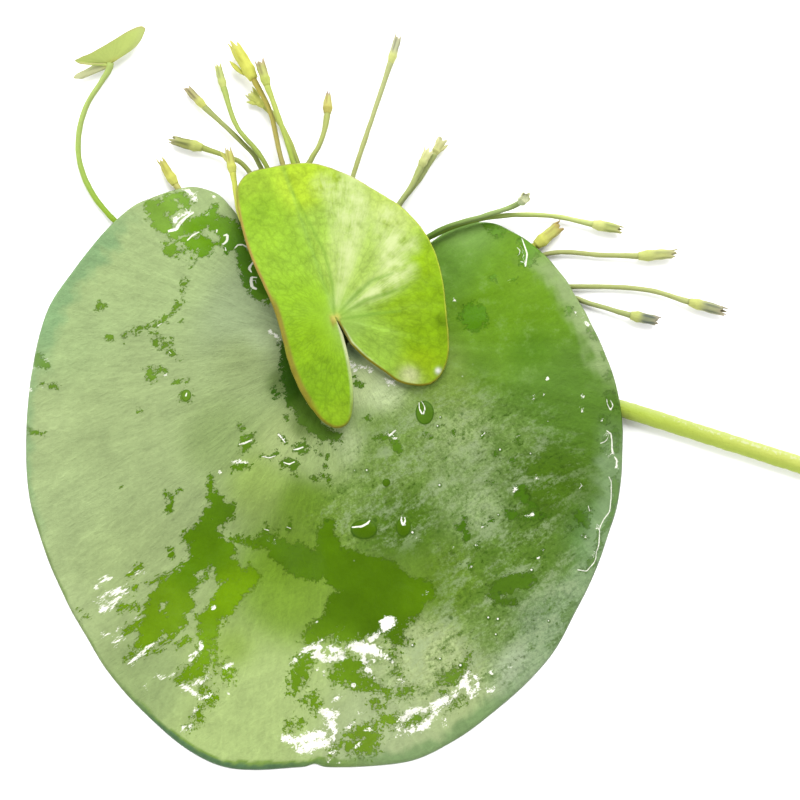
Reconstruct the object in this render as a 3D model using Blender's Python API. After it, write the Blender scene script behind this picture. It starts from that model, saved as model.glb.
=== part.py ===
"""A floating-heart water plant, pulled from the water and laid on a table.

A round heart-shaped leaf sits on the crown at the end of a long stem. From the crown grow a
bright young leaf, which lies above the big one, a still folded leaf on a curled stalk, and a
fan of flower stalks with their buds.

The script works in metres with +Z up. Sizes below are in millimetres, measured from the middle
of the crown: x to the right, y towards the notch of the big leaf, z up from the table.
"""

import math

import bmesh
import bpy
import numpy as np
from mathutils import Vector

MM = 0.001

# Where the crown stands in the part's frame, whose origin is under the middle of the plant
CROWN_PLACE = (-19.1, 8.1)

# Gap left between pieces that touch
GAP = 0.42

# How finely a smooth curve is followed before its points are spaced out, per given point
CURVE_STEPS = 24

# Main stem
STEM_RADIUS = 1.6
STEM_HEIGHT = 1.6
STEM_ROUTE = ((4.9, -1.0), (20, -3.7), (40, -8.2), (55.5, -12.4), (75, -18.2), (101.5, -26.3))
STEM_POINTS = 12
STEM_SIDES_LEVEL = 4

# Crown, a low rounded lump
CROWN_CENTRE = (0.5, 2.5)
CROWN_RADIUS = 4.3
CROWN_BOTTOM = 0.2
CROWN_TOP = 5.3
CROWN_SIDES = 16
# Heights of its rings, from -1 at the bottom to 1 at the top, and how upright its side is
CROWN_LEVELS = (-0.96, -0.75, -0.3, 0.3, 0.75, 0.96)
CROWN_SQUARENESS = 4

# Flower stalks leave the crown in two layers
LOW = 0.95
HIGH = 2.65
STALK_RADIUS = 0.55
STALK_POINTS = 12
STALK_SIDES_LEVEL = 1

# Big leaf: its rim as (direction in degrees, distance in mm) from the crown, clockwise
# from the inner corner of the right lobe to the inner corner of the left lobe
BIG_RIM = (
    (54, 22), (53, 27), (49, 34), (45, 37.5), (39, 40.7), (27, 44.3), (13, 47.6), (0, 51.6),
    (-14, 56.9), (-32, 63.4), (-53, 71.8), (-66, 77.2), (-80, 82.4), (-94, 83.2), (-107, 85.5),
    (-121, 81.3), (-135, 74.8), (-149, 70.7), (-163, 66.8), (-184, 61.8), (-198, 57.2), (-212, 53),
    (-219, 50), (-226, 46.6), (-229.5, 43.6), (-231.5, 40.2), (-231, 35), (-229, 28),
)
BIG_RIM_POINTS = 67
BIG_RINGS = (0.09, 0.22, 0.35, 0.48, 0.6, 0.71, 0.81, 0.89, 0.95, 1.0)
BIG_THICKNESS = 0.6
BIG_CENTRE_HEIGHT = 6.0
BIG_EDGE_HEIGHT = 1.0
BIG_EDGE_ROLL = 0.8
BIG_ROLL_POWER = 10
# Where the edge is propped up, as (direction, spread in degrees, height in mm)
BIG_PROPS = ((-13, 14, 3.4), (22, 20, 2.25), (142, 18, 2.1))
# Waves round the edge, as (number round the leaf, start in radians, height in mm)
BIG_WAVES = ((4, 0.9, 0.07), (7, 2.2, 0.05))
# The patch of the underside that lies flat on the table
REST_CENTRE = (-22, -47)
REST_RADIUS = 7.5
REST_BLEND = 21

# Young leaf: rim measured from the place where its veins meet, clockwise round from the
# right lobe's side of the notch
YOUNG_PLACE = (-1.7, 5.3)
YOUNG_HEIGHT = 8.6
YOUNG_RIM = (
    (-61, 6), (-54, 10), (-48, 14.5), (-45, 18), (-38, 21.3), (-30, 23), (-20, 23.5), (-10, 22.8), (4, 22),
    (20, 22.5), (35, 23.7), (48, 24.7), (60, 25.5), (73, 26.2), (86, 28.5), (97, 31), (105, 32.3),
    (114, 33.4), (121, 34.2), (127, 33), (133, 28.5), (140, 23.5), (147, 19.5), (157, 15.5), (177, 12),
    (203, 11.5), (228, 13.5), (245, 16.4), (256, 19), (264, 21.2), (271, 22), (277, 21), (281, 18),
    (284.5, 13.5), (288, 8.5), (294, 3.5),
)
YOUNG_RIM_POINTS = 44
YOUNG_RINGS = (0.16, 0.34, 0.52, 0.7, 0.86, 1.0)
YOUNG_THICKNESS = 0.45
YOUNG_MIDRIB_DIRECTION = 109
YOUNG_LEFT_SLOPE = 0.21
YOUNG_RIGHT_SLOPE = 0.12
# The right half bends down from this distance beside the midrib, by this much per mm squared
YOUNG_BEND_START = 6
YOUNG_BEND = 0.0075
# Droop per mm squared: of the tip, of both lobes, and what the right lobe adds to that
YOUNG_TIP_DROOP = 0.0024
YOUNG_LOBE_DROOP = 0.004
YOUNG_RIGHT_DROOP = 0.0045
YOUNG_RIGHT_REACH = 8

# Folded leaf: rim points of its two halves, from the notch over the upper half to the tip
# and back under the lower half
FOLDED_PLACE = (-48.1, 59.0, 2.1)
FOLDED_RIM = (
    (-1.2, 0.2, 0.5), (-4.5, 0, 1.0), (-7.4, 0.2, 1.4), (-6, 1, 1.7), (-4, 1.8, 1.9), (0, 3.7, 2.1),
    (4, 6.3, 1.7), (6.2, 8, 0.9), (6.9, 7.6, 0.2), (6, 7.4, -0.4), (3.4, 5.4, -0.8), (-0.4, 2.8, -1.0),
    (-4.4, 0, -1.1), (-7.6, -2.3, -1.1), (-6.8, -2.7, -1.1), (-3.6, -1.6, -0.9), (-1.1, -0.7, -0.5),
)
FOLDED_RIM_POINTS = 25
FOLDED_RINGS = (0.2, 0.42, 0.64, 0.84, 1.0)
FOLDED_THICKNESS = 0.45
FOLDED_SPINE_BULGE = 1.7
FOLDED_SPINE_SPREAD = 3.2

# Stalks of the two smaller leaves
YOUNG_STALK_RADIUS = 0.8
YOUNG_STALK_FOOT = (-0.8, 4.9)
YOUNG_STALK_TOP = (-1.6, 5.3)
YOUNG_STALK_POINTS = 4
FOLDED_STALK_DIRECTION = 168
FOLDED_STALK_RADIUS = 0.62
FOLDED_STALK_ROUTE = (
    (-25, 13, 0.85), (-40.2, 21.4, 0.8), (-47.2, 27.1, 0.8), (-51.9, 33.1, 0.8), (-54.3, 39.5, 0.85),
    (-54.4, 45.5, 1.0), (-52.8, 51.1, 1.2), (-50.1, 55.4, 1.5), (-48.9, 57.7, 1.75),
)
FOLDED_STALK_POINTS = 24

# Flowers: direction and height where the stalk leaves the crown, points on its way, the base
# and the tip of the bud, the bud's width, and how far the bud's tips stand apart
FLOWERS = (
    (148, LOW, ((-18, 20, 0.9), (-31, 29.5, 1.0)),
     (-34.5, 34, 1.2), (-38, 39.9, 1.4), 2.3, 0.55),
    (136, HIGH, ((-10.5, 19, 2.6), (-19.5, 36.4, 2.0), (-24.6, 40, 1.4)),
     (-29, 41.7, 1.4), (-36.1, 43.6, 1.4), 2.5, 0.8),
    (131, LOW, ((-10.3, 21, 1.4), (-17.4, 37.8, 1.9), (-21.5, 43.1, 1.8)),
     (-28.7, 50.1, 1.4), (-33.1, 55, 1.2), 1.9, 0.85),
    (119, HIGH, ((-8.5, 20, 3.2), (-16.1, 37.6, 3.6), (-22.1, 45.8, 2.9)),
     (-24.9, 53.9, 1.8), (-26.4, 59.7, 1.3), 1.8, 0.8),
    (114, LOW, ((-7.8, 22, 1.4), (-12.9, 38.5, 2.4), (-15.3, 48.6, 3.0)),
     (-18.7, 55.6, 2.7), (-23.4, 64.2, 1.8), 3.0, 0.8),
    (102, HIGH, ((-5.8, 21, 3.4), (-10.6, 38.2, 3.9), (-13.8, 48, 4.2)),
     (-15.9, 53.8, 4.3), (-17.7, 59.7, 3.7), 2.2, 1.15),
    (97, LOW, ((-5.6, 22, 1.0), (-9.8, 38.7, 1.2), (-13.4, 46.9, 0.8)),
     (-16.5, 50.5, 0.9), (-20.3, 53.5, 1.1), 1.9, 1.1),
    (153, HIGH, ((-9.3, 13.6, 3.45), (-14.5, 21, 4.3), (-20.6, 25.6, 4.6)),
     (-22.7, 35.6, 4.3), (-23.8, 41.3, 4.2), 2.1, 0.6),
    (85, HIGH, ((-3.8, 21, 3.0), (-8.1, 38.3, 2.8), (-5.9, 42, 2.4), (-4.5, 45.5, 2.1)),
     (-3.8, 48.7, 1.7), (-3.6, 54, 1.2), 2.2, 0.2),
    (78, LOW, ((-2.9, 21, 1.1), (1.3, 35.4, 1.4), (5.5, 48.6, 1.3)),
     (9, 59.4, 1.2), (10.9, 66.1, 1.3), 1.9, 0.75),
    (65, HIGH, ((5.5, 20, 3.1), (10.6, 29.4, 2.8), (13, 33, 2.7)),
     (15.1, 37.4, 2.7), (17.1, 41.2, 2.7), 2.0, 1.2),
    (61, LOW, ((6.5, 19, 1.2), (10.7, 29.5, 1.1), (14.9, 35.2, 1.0)),
     (17.9, 40.3, 1.0), (19.9, 44, 1.4), 1.9, 1.5),
    (48, HIGH, ((9.2, 16.5, 3.8), (18.4, 23.7, 4.5), (27.9, 27, 4.0), (33.2, 28.8, 3.8)),
     (35.2, 29.4, 5.3), (36.3, 30.1, 7.9), 2.1, 1.3),
    (45, LOW, ((8.7, 16.9, 2.4), (18.6, 23.6, 3.0), (29, 27, 2.6), (40.6, 27.7, 1.4)),
     (49.8, 26, 1.3), (56.4, 24.6, 1.3), 2.4, 0.75),
    (30, HIGH, ((15.5, 10.5, 2.6), (28, 17, 1.5)),
     (38.3, 21.4, 1.3), (44.1, 26, 1.6), 2.6, 0.7),
    (27, LOW, ((16, 9, 1.0), (29, 14.4, 0.9), (41, 19.9, 0.9), (52, 19.6, 0.9)),
     (58.9, 19.3, 1.35), (67.4, 19.8, 1.5), 2.5, 0.75),
    (10, HIGH, ((18, 6.4, 2.4), (34, 12, 1.1), (46.3, 13.1, 0.9), (60, 12.6, 0.9)),
     (69, 10, 1.3), (77, 7.7, 1.4), 2.4, 0.9),
    (9, LOW, ((19, 4.2, 0.9), (34, 8.2, 0.9), (44, 11, 0.9), (49.5, 9.6, 0.9)),
     (57.2, 7.2, 1.4), (63.6, 5.9, 1.5), 2.5, 0.8),
)

# Bud outline from base to tip: (share of the length, share of the half width)
BUD_PROFILE = ((0, 0.46), (0.13, 0.68), (0.27, 1.0), (0.4, 0.84), (0.66, 0.88))
BUD_SEPALS = 5
BUD_RIBS = 0.08
# Length share at which the tips part, of the floor between them, and the width share there
BUD_NOTCH = 0.84
BUD_FLOOR = 0.8
BUD_NECK = 0.8

# Colour and roughness of each kind of piece
FINISHES = {
    "stem": ((0.66, 0.80, 0.18), 0.45),
    "crown": ((0.45, 0.60, 0.15), 0.55),
    "big_leaf": ((0.30, 0.45, 0.16), 0.35),
    "young_leaf": ((0.38, 0.62, 0.04), 0.30),
    "folded_leaf": ((0.56, 0.71, 0.19), 0.45),
    "stalk": ((0.42, 0.53, 0.17), 0.45),
    "bud": ((0.62, 0.68, 0.20), 0.50),
}


def clear_scene():
    for old in list(bpy.data.objects):
        bpy.data.objects.remove(old, do_unlink=True)


def finish_of(kind):
    """A plain Principled material for one kind of piece, made once."""
    existing = bpy.data.materials.get(kind)
    if existing:
        return existing
    colour, roughness = FINISHES[kind]
    made = bpy.data.materials.new(kind)
    made.use_nodes = True
    shader = made.node_tree.nodes["Principled BSDF"]
    shader.inputs["Base Color"].default_value = (*colour, 1.0)
    shader.inputs["Roughness"].default_value = roughness
    shader.inputs["Metallic"].default_value = 0.0
    return made


def add_object(name, data, kind, holder):
    piece = bpy.data.objects.new(name, data)
    bpy.context.scene.collection.objects.link(piece)
    data.materials.append(finish_of(kind))
    piece.parent = holder
    return piece


def smooth_line(points, count):
    """`count` evenly spaced places on the Catmull-Rom curve that runs through all the points."""
    given = np.array(points, float)
    first = 2 * given[0] - given[1]
    last = 2 * given[-1] - given[-2]
    ends = np.vstack([first, given, last])
    along = np.linspace(0, len(given) - 1, CURVE_STEPS * len(given))
    start = np.minimum(along.astype(int), len(given) - 2)
    t = (along - start)[:, None]
    p0, p1, p2, p3 = ends[start], ends[start + 1], ends[start + 2], ends[start + 3]
    bend = 2 * p0 - 5 * p1 + 4 * p2 - p3
    twist = 3 * p1 - 3 * p2 + p3 - p0
    fine = 0.5 * (2 * p1 + (p2 - p0) * t + bend * t**2 + twist * t**3)
    steps = np.linalg.norm(np.diff(fine, axis=0), axis=1)
    travelled = np.concatenate([[0], np.cumsum(steps)])
    wanted = np.linspace(0, travelled[-1], count)
    return np.column_stack([np.interp(wanted, travelled, fine[:, i]) for i in range(fine.shape[1])])


def polar_line(rim, count):
    """The smooth rim through (direction, distance) pairs, as x and y."""
    turns = np.radians([direction for direction, _ in rim])
    reach = np.array([distance for _, distance in rim])
    corners = np.column_stack([reach * np.cos(turns), reach * np.sin(turns)])
    return smooth_line(corners, count)


def tube(name, points, radius, level, kind, holder):
    """A round stalk along the points, closed by flat caps."""
    curve = bpy.data.curves.new(name, "CURVE")
    curve.dimensions = "3D"
    curve.bevel_depth = radius * MM
    curve.bevel_resolution = level
    curve.use_fill_caps = True
    spline = curve.splines.new("POLY")
    spline.points.add(len(points) - 1)
    for place, point in zip(spline.points, points):
        place.co = (*(MM * point), 1.0)
    return add_object(name, curve, kind, holder)


def blade(name, sheet, thickness, kind, holder):
    """A leaf blade from its lower sheet, thickened upwards.

    `sheet[ring, i]` holds the rings of points, the first of them next to the attachment,
    which is `sheet[0, 0]` pulled to one point. The sheet is open along the notch.
    """
    rings, around = sheet.shape[:2]
    corners = [sheet[0, 0]] + list(sheet[1:].reshape(-1, 3))
    faces = [(0, 1 + i, 2 + i) for i in range(around - 1)]
    for ring in range(rings - 2):
        inner = 1 + ring * around
        outer = inner + around
        faces += [(inner + i, outer + i, outer + i + 1, inner + i + 1) for i in range(around - 1)]
    mesh = bpy.data.meshes.new(name)
    mesh.from_pydata([tuple(MM * corner) for corner in corners], [], faces)
    mesh.shade_smooth()
    piece = add_object(name, mesh, kind, holder)
    wall = piece.modifiers.new("thickness", "SOLIDIFY")
    wall.thickness = thickness * MM
    wall.offset = 1.0
    wall.use_even_offset = False
    return piece


def ring_solid(name, rings, kind, holder):
    """A closed body from rings of points, each end drawn together to its last point."""
    mesh = bpy.data.meshes.new(name)
    body = bmesh.new()
    first = body.verts.new(MM * rings[0][0])
    last = body.verts.new(MM * rings[-1][0])
    loops = [[body.verts.new(MM * point) for point in ring] for ring in rings[1:-1]]
    around = len(loops[0])
    for i in range(around):
        after = (i + 1) % around
        body.faces.new((first, loops[0][after], loops[0][i]))
        body.faces.new((last, loops[-1][i], loops[-1][after]))
        for low, high in zip(loops, loops[1:]):
            body.faces.new((low[i], low[after], high[after], high[i]))
    bmesh.ops.recalc_face_normals(body, faces=body.faces)
    body.to_mesh(mesh)
    body.free()
    mesh.shade_smooth()
    return add_object(name, mesh, kind, holder)


def big_leaf_height(x, y, share, direction):
    """Height of the big leaf's underside.

    A low dome over the crown falls to an edge that rolls down, is propped up where stalks
    pass under it, waves a little and lies flat on the table round the rest patch.
    """
    edge = np.full_like(x, BIG_EDGE_HEIGHT)
    for middle, spread, height in BIG_PROPS:
        off = (direction - middle + 180) % 360 - 180
        edge = edge + height * np.exp(-((off / spread) ** 2))
    dome = (BIG_CENTRE_HEIGHT - edge) * (1 - share**2) ** 2
    roll = BIG_EDGE_ROLL * share**BIG_ROLL_POWER
    turn = np.radians(direction)
    waves = sum(size * np.sin(count * turn + start) for count, start, size in BIG_WAVES)
    height = dome + edge - roll + waves * share**3
    away = np.hypot(x - REST_CENTRE[0], y - REST_CENTRE[1])
    blend = np.clip((away - REST_RADIUS) / (REST_BLEND - REST_RADIUS), 0, 1)
    return height * blend**2 * (3 - 2 * blend)


def big_leaf(holder):
    rim = polar_line(BIG_RIM, BIG_RIM_POINTS)
    share = np.array((0,) + BIG_RINGS)[:, None] * np.ones(len(rim))
    x = share * rim[:, 0]
    y = share * rim[:, 1]
    direction = np.degrees(np.arctan2(rim[:, 1], rim[:, 0])) + 0 * share
    z = big_leaf_height(x, y, share, direction)
    sheet = np.dstack([x, y, z])[:, ::-1]
    return blade("big_leaf", sheet, BIG_THICKNESS, "big_leaf", holder)


def young_leaf_height(x, y):
    """Height of the young leaf above its vein junction, folded along its midrib.

    The left half climbs to its edge, the right half climbs and then bends down, and the tip
    and both lobes droop.
    """
    turn = math.radians(YOUNG_MIDRIB_DIRECTION)
    along = x * math.cos(turn) + y * math.sin(turn)
    across = x * math.sin(turn) - y * math.cos(turn)
    left = np.maximum(-across, 0)
    right = np.maximum(across, 0)
    ahead = np.maximum(along, 0)
    behind = np.maximum(-along, 0)
    fold = YOUNG_LEFT_SLOPE * left + YOUNG_RIGHT_SLOPE * right
    bend = YOUNG_BEND * np.maximum(right - YOUNG_BEND_START, 0) ** 2
    lobe_droop = YOUNG_LOBE_DROOP + YOUNG_RIGHT_DROOP * np.clip(right / YOUNG_RIGHT_REACH, 0, 1)
    return fold - bend - YOUNG_TIP_DROOP * ahead**2 - lobe_droop * behind**2


def young_leaf(holder):
    rim = polar_line(YOUNG_RIM, YOUNG_RIM_POINTS)
    share = np.array((0,) + YOUNG_RINGS)[:, None]
    x = share * rim[:, 0]
    y = share * rim[:, 1]
    z = YOUNG_HEIGHT + young_leaf_height(x, y)
    sheet = np.dstack([x + YOUNG_PLACE[0], y + YOUNG_PLACE[1], z])
    return blade("young_leaf", sheet, YOUNG_THICKNESS, "young_leaf", holder)


def folded_leaf(holder):
    """Two halves that meet along a spine, which bows away from the straight line to the tip."""
    rim = smooth_line(FOLDED_RIM, FOLDED_RIM_POINTS)
    tip = rim[np.argmax(rim[:, 1])]
    near_spine = np.exp(-((np.linalg.norm(rim - tip, axis=1) / FOLDED_SPINE_SPREAD) ** 2))
    bow = np.array([tip[1], -tip[0], 0]) / math.hypot(tip[0], tip[1])
    share = np.array((0,) + FOLDED_RINGS)[:, None, None]
    bulge = FOLDED_SPINE_BULGE * near_spine[:, None] * bow
    sheet = np.array(FOLDED_PLACE) + share * rim + np.sin(math.pi * share) * bulge
    return blade("folded_leaf", sheet[:, ::-1], FOLDED_THICKNESS, "folded_leaf", holder)


def crown(holder):
    """A lump with steep sides: each ring's radius follows a flattened circle."""
    middle = (CROWN_TOP + CROWN_BOTTOM) / 2
    half = (CROWN_TOP - CROWN_BOTTOM) / 2
    turns = [2 * math.pi * i / CROWN_SIDES for i in range(CROWN_SIDES)]
    rings = [[Vector((*CROWN_CENTRE, CROWN_BOTTOM))]]
    for level in CROWN_LEVELS:
        radius = CROWN_RADIUS * math.sqrt(1 - abs(level) ** CROWN_SQUARENESS)
        centre = Vector((*CROWN_CENTRE, middle + half * level))
        rings.append([centre + radius * Vector((math.cos(a), math.sin(a), 0)) for a in turns])
    rings.append([Vector((*CROWN_CENTRE, CROWN_TOP))])
    return ring_solid("crown", rings, "crown", holder)


def bud(name, base, tip, width, opening, holder):
    """A swollen base and a ribbed tube of sepals that ends in separate pointed tips."""
    axis = tip - base
    length = axis.length
    half = width / 2
    around = 2 * BUD_SEPALS

    def ring(height, radius, rib):
        turns = [math.pi * i / BUD_SEPALS for i in range(around)]
        sizes = [radius * (1 + rib * (-1) ** i) for i in range(around)]
        return [Vector((size * math.cos(a), size * math.sin(a), height)) for a, size in zip(turns, sizes)]

    rings = [[Vector((0, 0, 0))]]
    rings += [ring(share * length, reach * half, BUD_RIBS * share) for share, reach in BUD_PROFILE]
    tips = ring(length, opening * half, 0)
    notches = ring(BUD_NOTCH * length, (opening + BUD_NECK) / 2 * half, 0)
    rings.append([tips[i] if i % 2 == 0 else notches[i] for i in range(around)])
    rings.append([Vector((0, 0, BUD_FLOOR * length))])
    piece = ring_solid(name, rings, "bud", holder)
    piece.location = base * MM
    piece.rotation_mode = "QUATERNION"
    piece.rotation_quaternion = axis.to_track_quat("Z", "Y")
    return piece


def crown_side(direction, height):
    """The place just outside the crown in this direction."""
    reach = CROWN_RADIUS + GAP
    turn = math.radians(direction)
    return (CROWN_CENTRE[0] + reach * math.cos(turn), CROWN_CENTRE[1] + reach * math.sin(turn), height)


def flowers(holder):
    for number, (direction, height, route, base, tip, width, opening) in enumerate(FLOWERS, 1):
        base, tip = Vector(base), Vector(tip)
        end = base - GAP * (tip - base).normalized()
        line = smooth_line([crown_side(direction, height), *route, tuple(end)], STALK_POINTS)
        tube(f"flower_stalk_{number:02d}", line, STALK_RADIUS, STALK_SIDES_LEVEL, "stalk", holder)
        bud(f"flower_bud_{number:02d}", base, tip, width, opening, holder)


def main():
    clear_scene()
    holder = bpy.data.objects.new("crown_place", None)
    bpy.context.scene.collection.objects.link(holder)
    holder.location = (CROWN_PLACE[0] * MM, CROWN_PLACE[1] * MM, 0)

    stem_line = smooth_line([(x, y, STEM_HEIGHT) for x, y in STEM_ROUTE], STEM_POINTS)
    tube("main_stem", stem_line, STEM_RADIUS, STEM_SIDES_LEVEL, "stem", holder)
    crown(holder)
    big_leaf(holder)
    young_leaf(holder)
    young_ends = [(*YOUNG_STALK_FOOT, CROWN_TOP + GAP), (*YOUNG_STALK_TOP, YOUNG_HEIGHT - GAP)]
    young_stalk_line = smooth_line(young_ends, YOUNG_STALK_POINTS)
    tube("young_leaf_stalk", young_stalk_line, YOUNG_STALK_RADIUS, STALK_SIDES_LEVEL + 1, "stalk", holder)
    folded_leaf(holder)
    folded_foot = crown_side(FOLDED_STALK_DIRECTION, LOW)
    folded_stalk_line = smooth_line([folded_foot, *FOLDED_STALK_ROUTE], FOLDED_STALK_POINTS)
    tube("folded_leaf_stalk", folded_stalk_line, FOLDED_STALK_RADIUS, STALK_SIDES_LEVEL, "stalk", holder)
    flowers(holder)


main()
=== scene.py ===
"""The looks of a floating-heart water plant that lies on a table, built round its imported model.

A round heart-shaped leaf with a wet film and drops on it, a bright young leaf, a still folded
leaf on a curled stalk, a thick stem and a fan of flower stalks with their buds.

Sizes are in millimetres, measured from the middle of the crown: x to the right, y towards the
notch of the big leaf, z up from the table. Colours are written as they look under the studio
light, red, green and blue from 0 to 255.
"""

import math

import bpy
import numpy as np
from mathutils import Matrix, Vector


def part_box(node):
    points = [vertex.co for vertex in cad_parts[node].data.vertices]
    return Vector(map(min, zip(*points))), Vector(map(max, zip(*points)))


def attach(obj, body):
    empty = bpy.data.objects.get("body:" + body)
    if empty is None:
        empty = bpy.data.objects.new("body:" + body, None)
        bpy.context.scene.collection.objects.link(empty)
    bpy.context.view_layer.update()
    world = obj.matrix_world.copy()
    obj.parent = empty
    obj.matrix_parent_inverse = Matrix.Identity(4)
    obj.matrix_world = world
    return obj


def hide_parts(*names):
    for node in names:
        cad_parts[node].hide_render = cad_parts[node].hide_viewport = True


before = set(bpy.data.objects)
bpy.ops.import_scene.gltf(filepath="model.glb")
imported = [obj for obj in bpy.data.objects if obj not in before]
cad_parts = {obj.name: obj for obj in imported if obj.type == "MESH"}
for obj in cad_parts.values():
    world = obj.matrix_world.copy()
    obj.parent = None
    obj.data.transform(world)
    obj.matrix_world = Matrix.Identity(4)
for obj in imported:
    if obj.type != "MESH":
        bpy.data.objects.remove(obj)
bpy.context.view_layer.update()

bl_info = {
    "name": "Floating heart water plant",
    "version": (1, 0, 0),
    "blender": (4, 5, 0),
    "location": "View3D > Sidebar > Water plant",
    "description": "Builds the leaves, stalks and buds of a floating-heart plant and a studio round it",
    "category": "Object",
}

MM = 0.001
FAR = 1000.0
FULL_TURN = 2 * math.pi

# Where the crown stands: its middle is this far from the point that sizes are measured from
CROWN_CENTRE = (0.5, 2.5)
CROWN_RADIUS = 4.3
CROWN_BOTTOM = 0.2
CROWN_TOP = 5.3

# Corners nearer than this are one vertex
WELD = 1e-4

# How finely a smooth curve is followed before its points are spaced out, per given point
CURVE_STEPS = 24

# Brightness of a white surface that faces the studio light
LIGHT_LEVEL = 2.25

# Main stem
STEM_RADIUS = 1.6
STEM_ROUTE = ((2.5, -0.4), (20, -3.6), (40, -7.8), (55.5, -11.9), (75, -18.1), (101.4, -26.55))
STEM_HEIGHT = 1.6

# Big leaf: its rim as (direction in degrees, distance in mm) from the crown, clockwise
# from the inner corner of the right lobe to the inner corner of the left lobe
BIG_RIM = (
    (54, 22), (53, 27), (49, 34), (45, 37.5), (39, 40.7), (27, 44.4), (13, 47.9), (0, 51.9),
    (-14, 56.9), (-32, 63.4), (-53, 71.8), (-66, 77.2), (-80, 82.4), (-94, 82.9), (-107, 85.9),
    (-121, 81.4), (-135, 75.6), (-149, 71.2), (-163, 66.9), (-184, 61.85), (-198, 57.2), (-212, 53),
    (-219, 50), (-226, 46.6), (-229.5, 43.6), (-231.5, 40.2), (-231, 35), (-229, 28),
)
BIG_CELLS = 200
BIG_BORDER_STEP = 3
BIG_LOWER_RINGS = (0, 0.01, 0.04, 0.1, 0.18, 0.28, 0.38, 0.48, 0.58, 0.68, 0.78, 0.88, 0.95, 1)
BIG_CENTRE_HEIGHT = 6.0
BIG_EDGE_HEIGHT = 1.0
BIG_EDGE_ROLL = 0.8
BIG_ROLL_POWER = 10
# Where the edge is propped up, as (direction, spread in degrees, height in mm)
BIG_PROPS = ((-13, 14, 3.4), (22, 20, 2.25), (142, 18, 2.1))
# Waves round the edge, as (number round the leaf, start in radians, height in mm)
BIG_WAVES = ((4, 0.9, 0.07), (7, 2.2, 0.05))
# The patch of the underside that lies flat on the table
REST_CENTRE = (-22, -47)
REST_RADIUS = 7.5
REST_BLEND = 21
# Ridges that run outwards on top, as (number in a radian, start in radians)
BIG_RIDGES = ((17, 0.3), (29, 1.9), (43, 4.0), (61, 2.7))

# Young leaf: rim measured from the place where its veins meet, clockwise round from the
# right lobe's side of the notch
YOUNG_PLACE = (-1.7, 5.3)
YOUNG_HEIGHT = 8.6
YOUNG_RIM = (
    (-61, 6), (-54, 10), (-48, 14.5), (-45, 18), (-38.5, 21.5), (-31.5, 23.5), (-21, 23.8),
    (-10, 22.8), (4, 22), (20, 22.6), (35, 23.9), (48, 25), (60, 26), (73, 27.1), (86, 29.5),
    (97, 32), (105, 33.2), (114, 34.1), (121, 34.6), (127, 33.1), (133, 28.5), (140, 23.5),
    (147, 19.5), (157, 15.5), (177, 12), (203, 11.5), (228, 13.5), (245, 16.4), (256, 19),
    (264, 21.2), (271, 22), (277, 21), (281, 18), (284.5, 13.5), (288, 8.5), (294, 3.5),
)
YOUNG_CELLS = 115
YOUNG_BORDER_STEP = 2
YOUNG_MIDRIB_DIRECTION = 109
YOUNG_LEFT_SLOPE = 0.21
YOUNG_RIGHT_SLOPE = 0.12
# The right half bends down from this distance beside the midrib, by this much per mm squared
YOUNG_BEND_START = 6
YOUNG_BEND = 0.0075
# Droop per mm squared: of the tip, of both lobes, and what the right lobe adds to that
YOUNG_TIP_DROOP = 0.0024
YOUNG_LOBE_DROOP = 0.004
YOUNG_RIGHT_DROOP = 0.0045
YOUNG_RIGHT_REACH = 8

# Folded leaf: rim points of its two halves, from the notch over the upper half to the tip
# and back under the lower half
FOLDED_PLACE = (-48.1, 59.0, 2.1)
FOLDED_RIM = (
    (-1.2, 0.2, 0.5), (-4.5, 0.1, 1.0), (-7.2, 0.3, 1.4), (-5.9, 1.1, 1.7), (-3.9, 1.9, 1.9),
    (-0.2, 4, 2.1), (3.8, 6.7, 1.7), (6.1, 7.9, 0.9), (7.1, 7.5, 0.2), (6.2, 7.4, -0.4),
    (3.4, 5.4, -0.8), (-0.4, 2.8, -1.0), (-4.4, -0.4, -1.1), (-7.6, -2.2, -1.1), (-6.8, -2.6, -1.1),
    (-3.6, -1.3, -0.9), (-1.1, -0.7, -0.5),
)
FOLDED_COLUMNS = 160
FOLDED_ROWS = 48
FOLDED_SPINE_BULGE = 1.3
FOLDED_BULGE_SKEW = 1.4
FOLDED_SPINE_SPREAD = 3.2

# Stalks of the two smaller leaves
YOUNG_STALK_ROUTE = ((-0.3, 4.2, 4.6), (-0.8, 4.9, 5.9), (-1.6, 5.3, 7.6), (-1.7, 5.3, 8.9))
FOLDED_STALK_ROUTE = (
    (-3.2, 3.3, 1.2), (-25, 13, 0.85), (-40.2, 21.4, 0.8), (-47.2, 27.1, 0.8), (-51.9, 33.1, 0.8),
    (-54.3, 39.5, 0.85), (-54.4, 45.5, 1.0), (-52.8, 51.1, 1.2), (-50.1, 55.4, 1.5), (-48.5, 57.9, 1.9),
    (-48.1, 59.4, 2.3),
)

# Flower stalks leave the crown in two layers
LOW = 0.95
HIGH = 2.65

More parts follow.
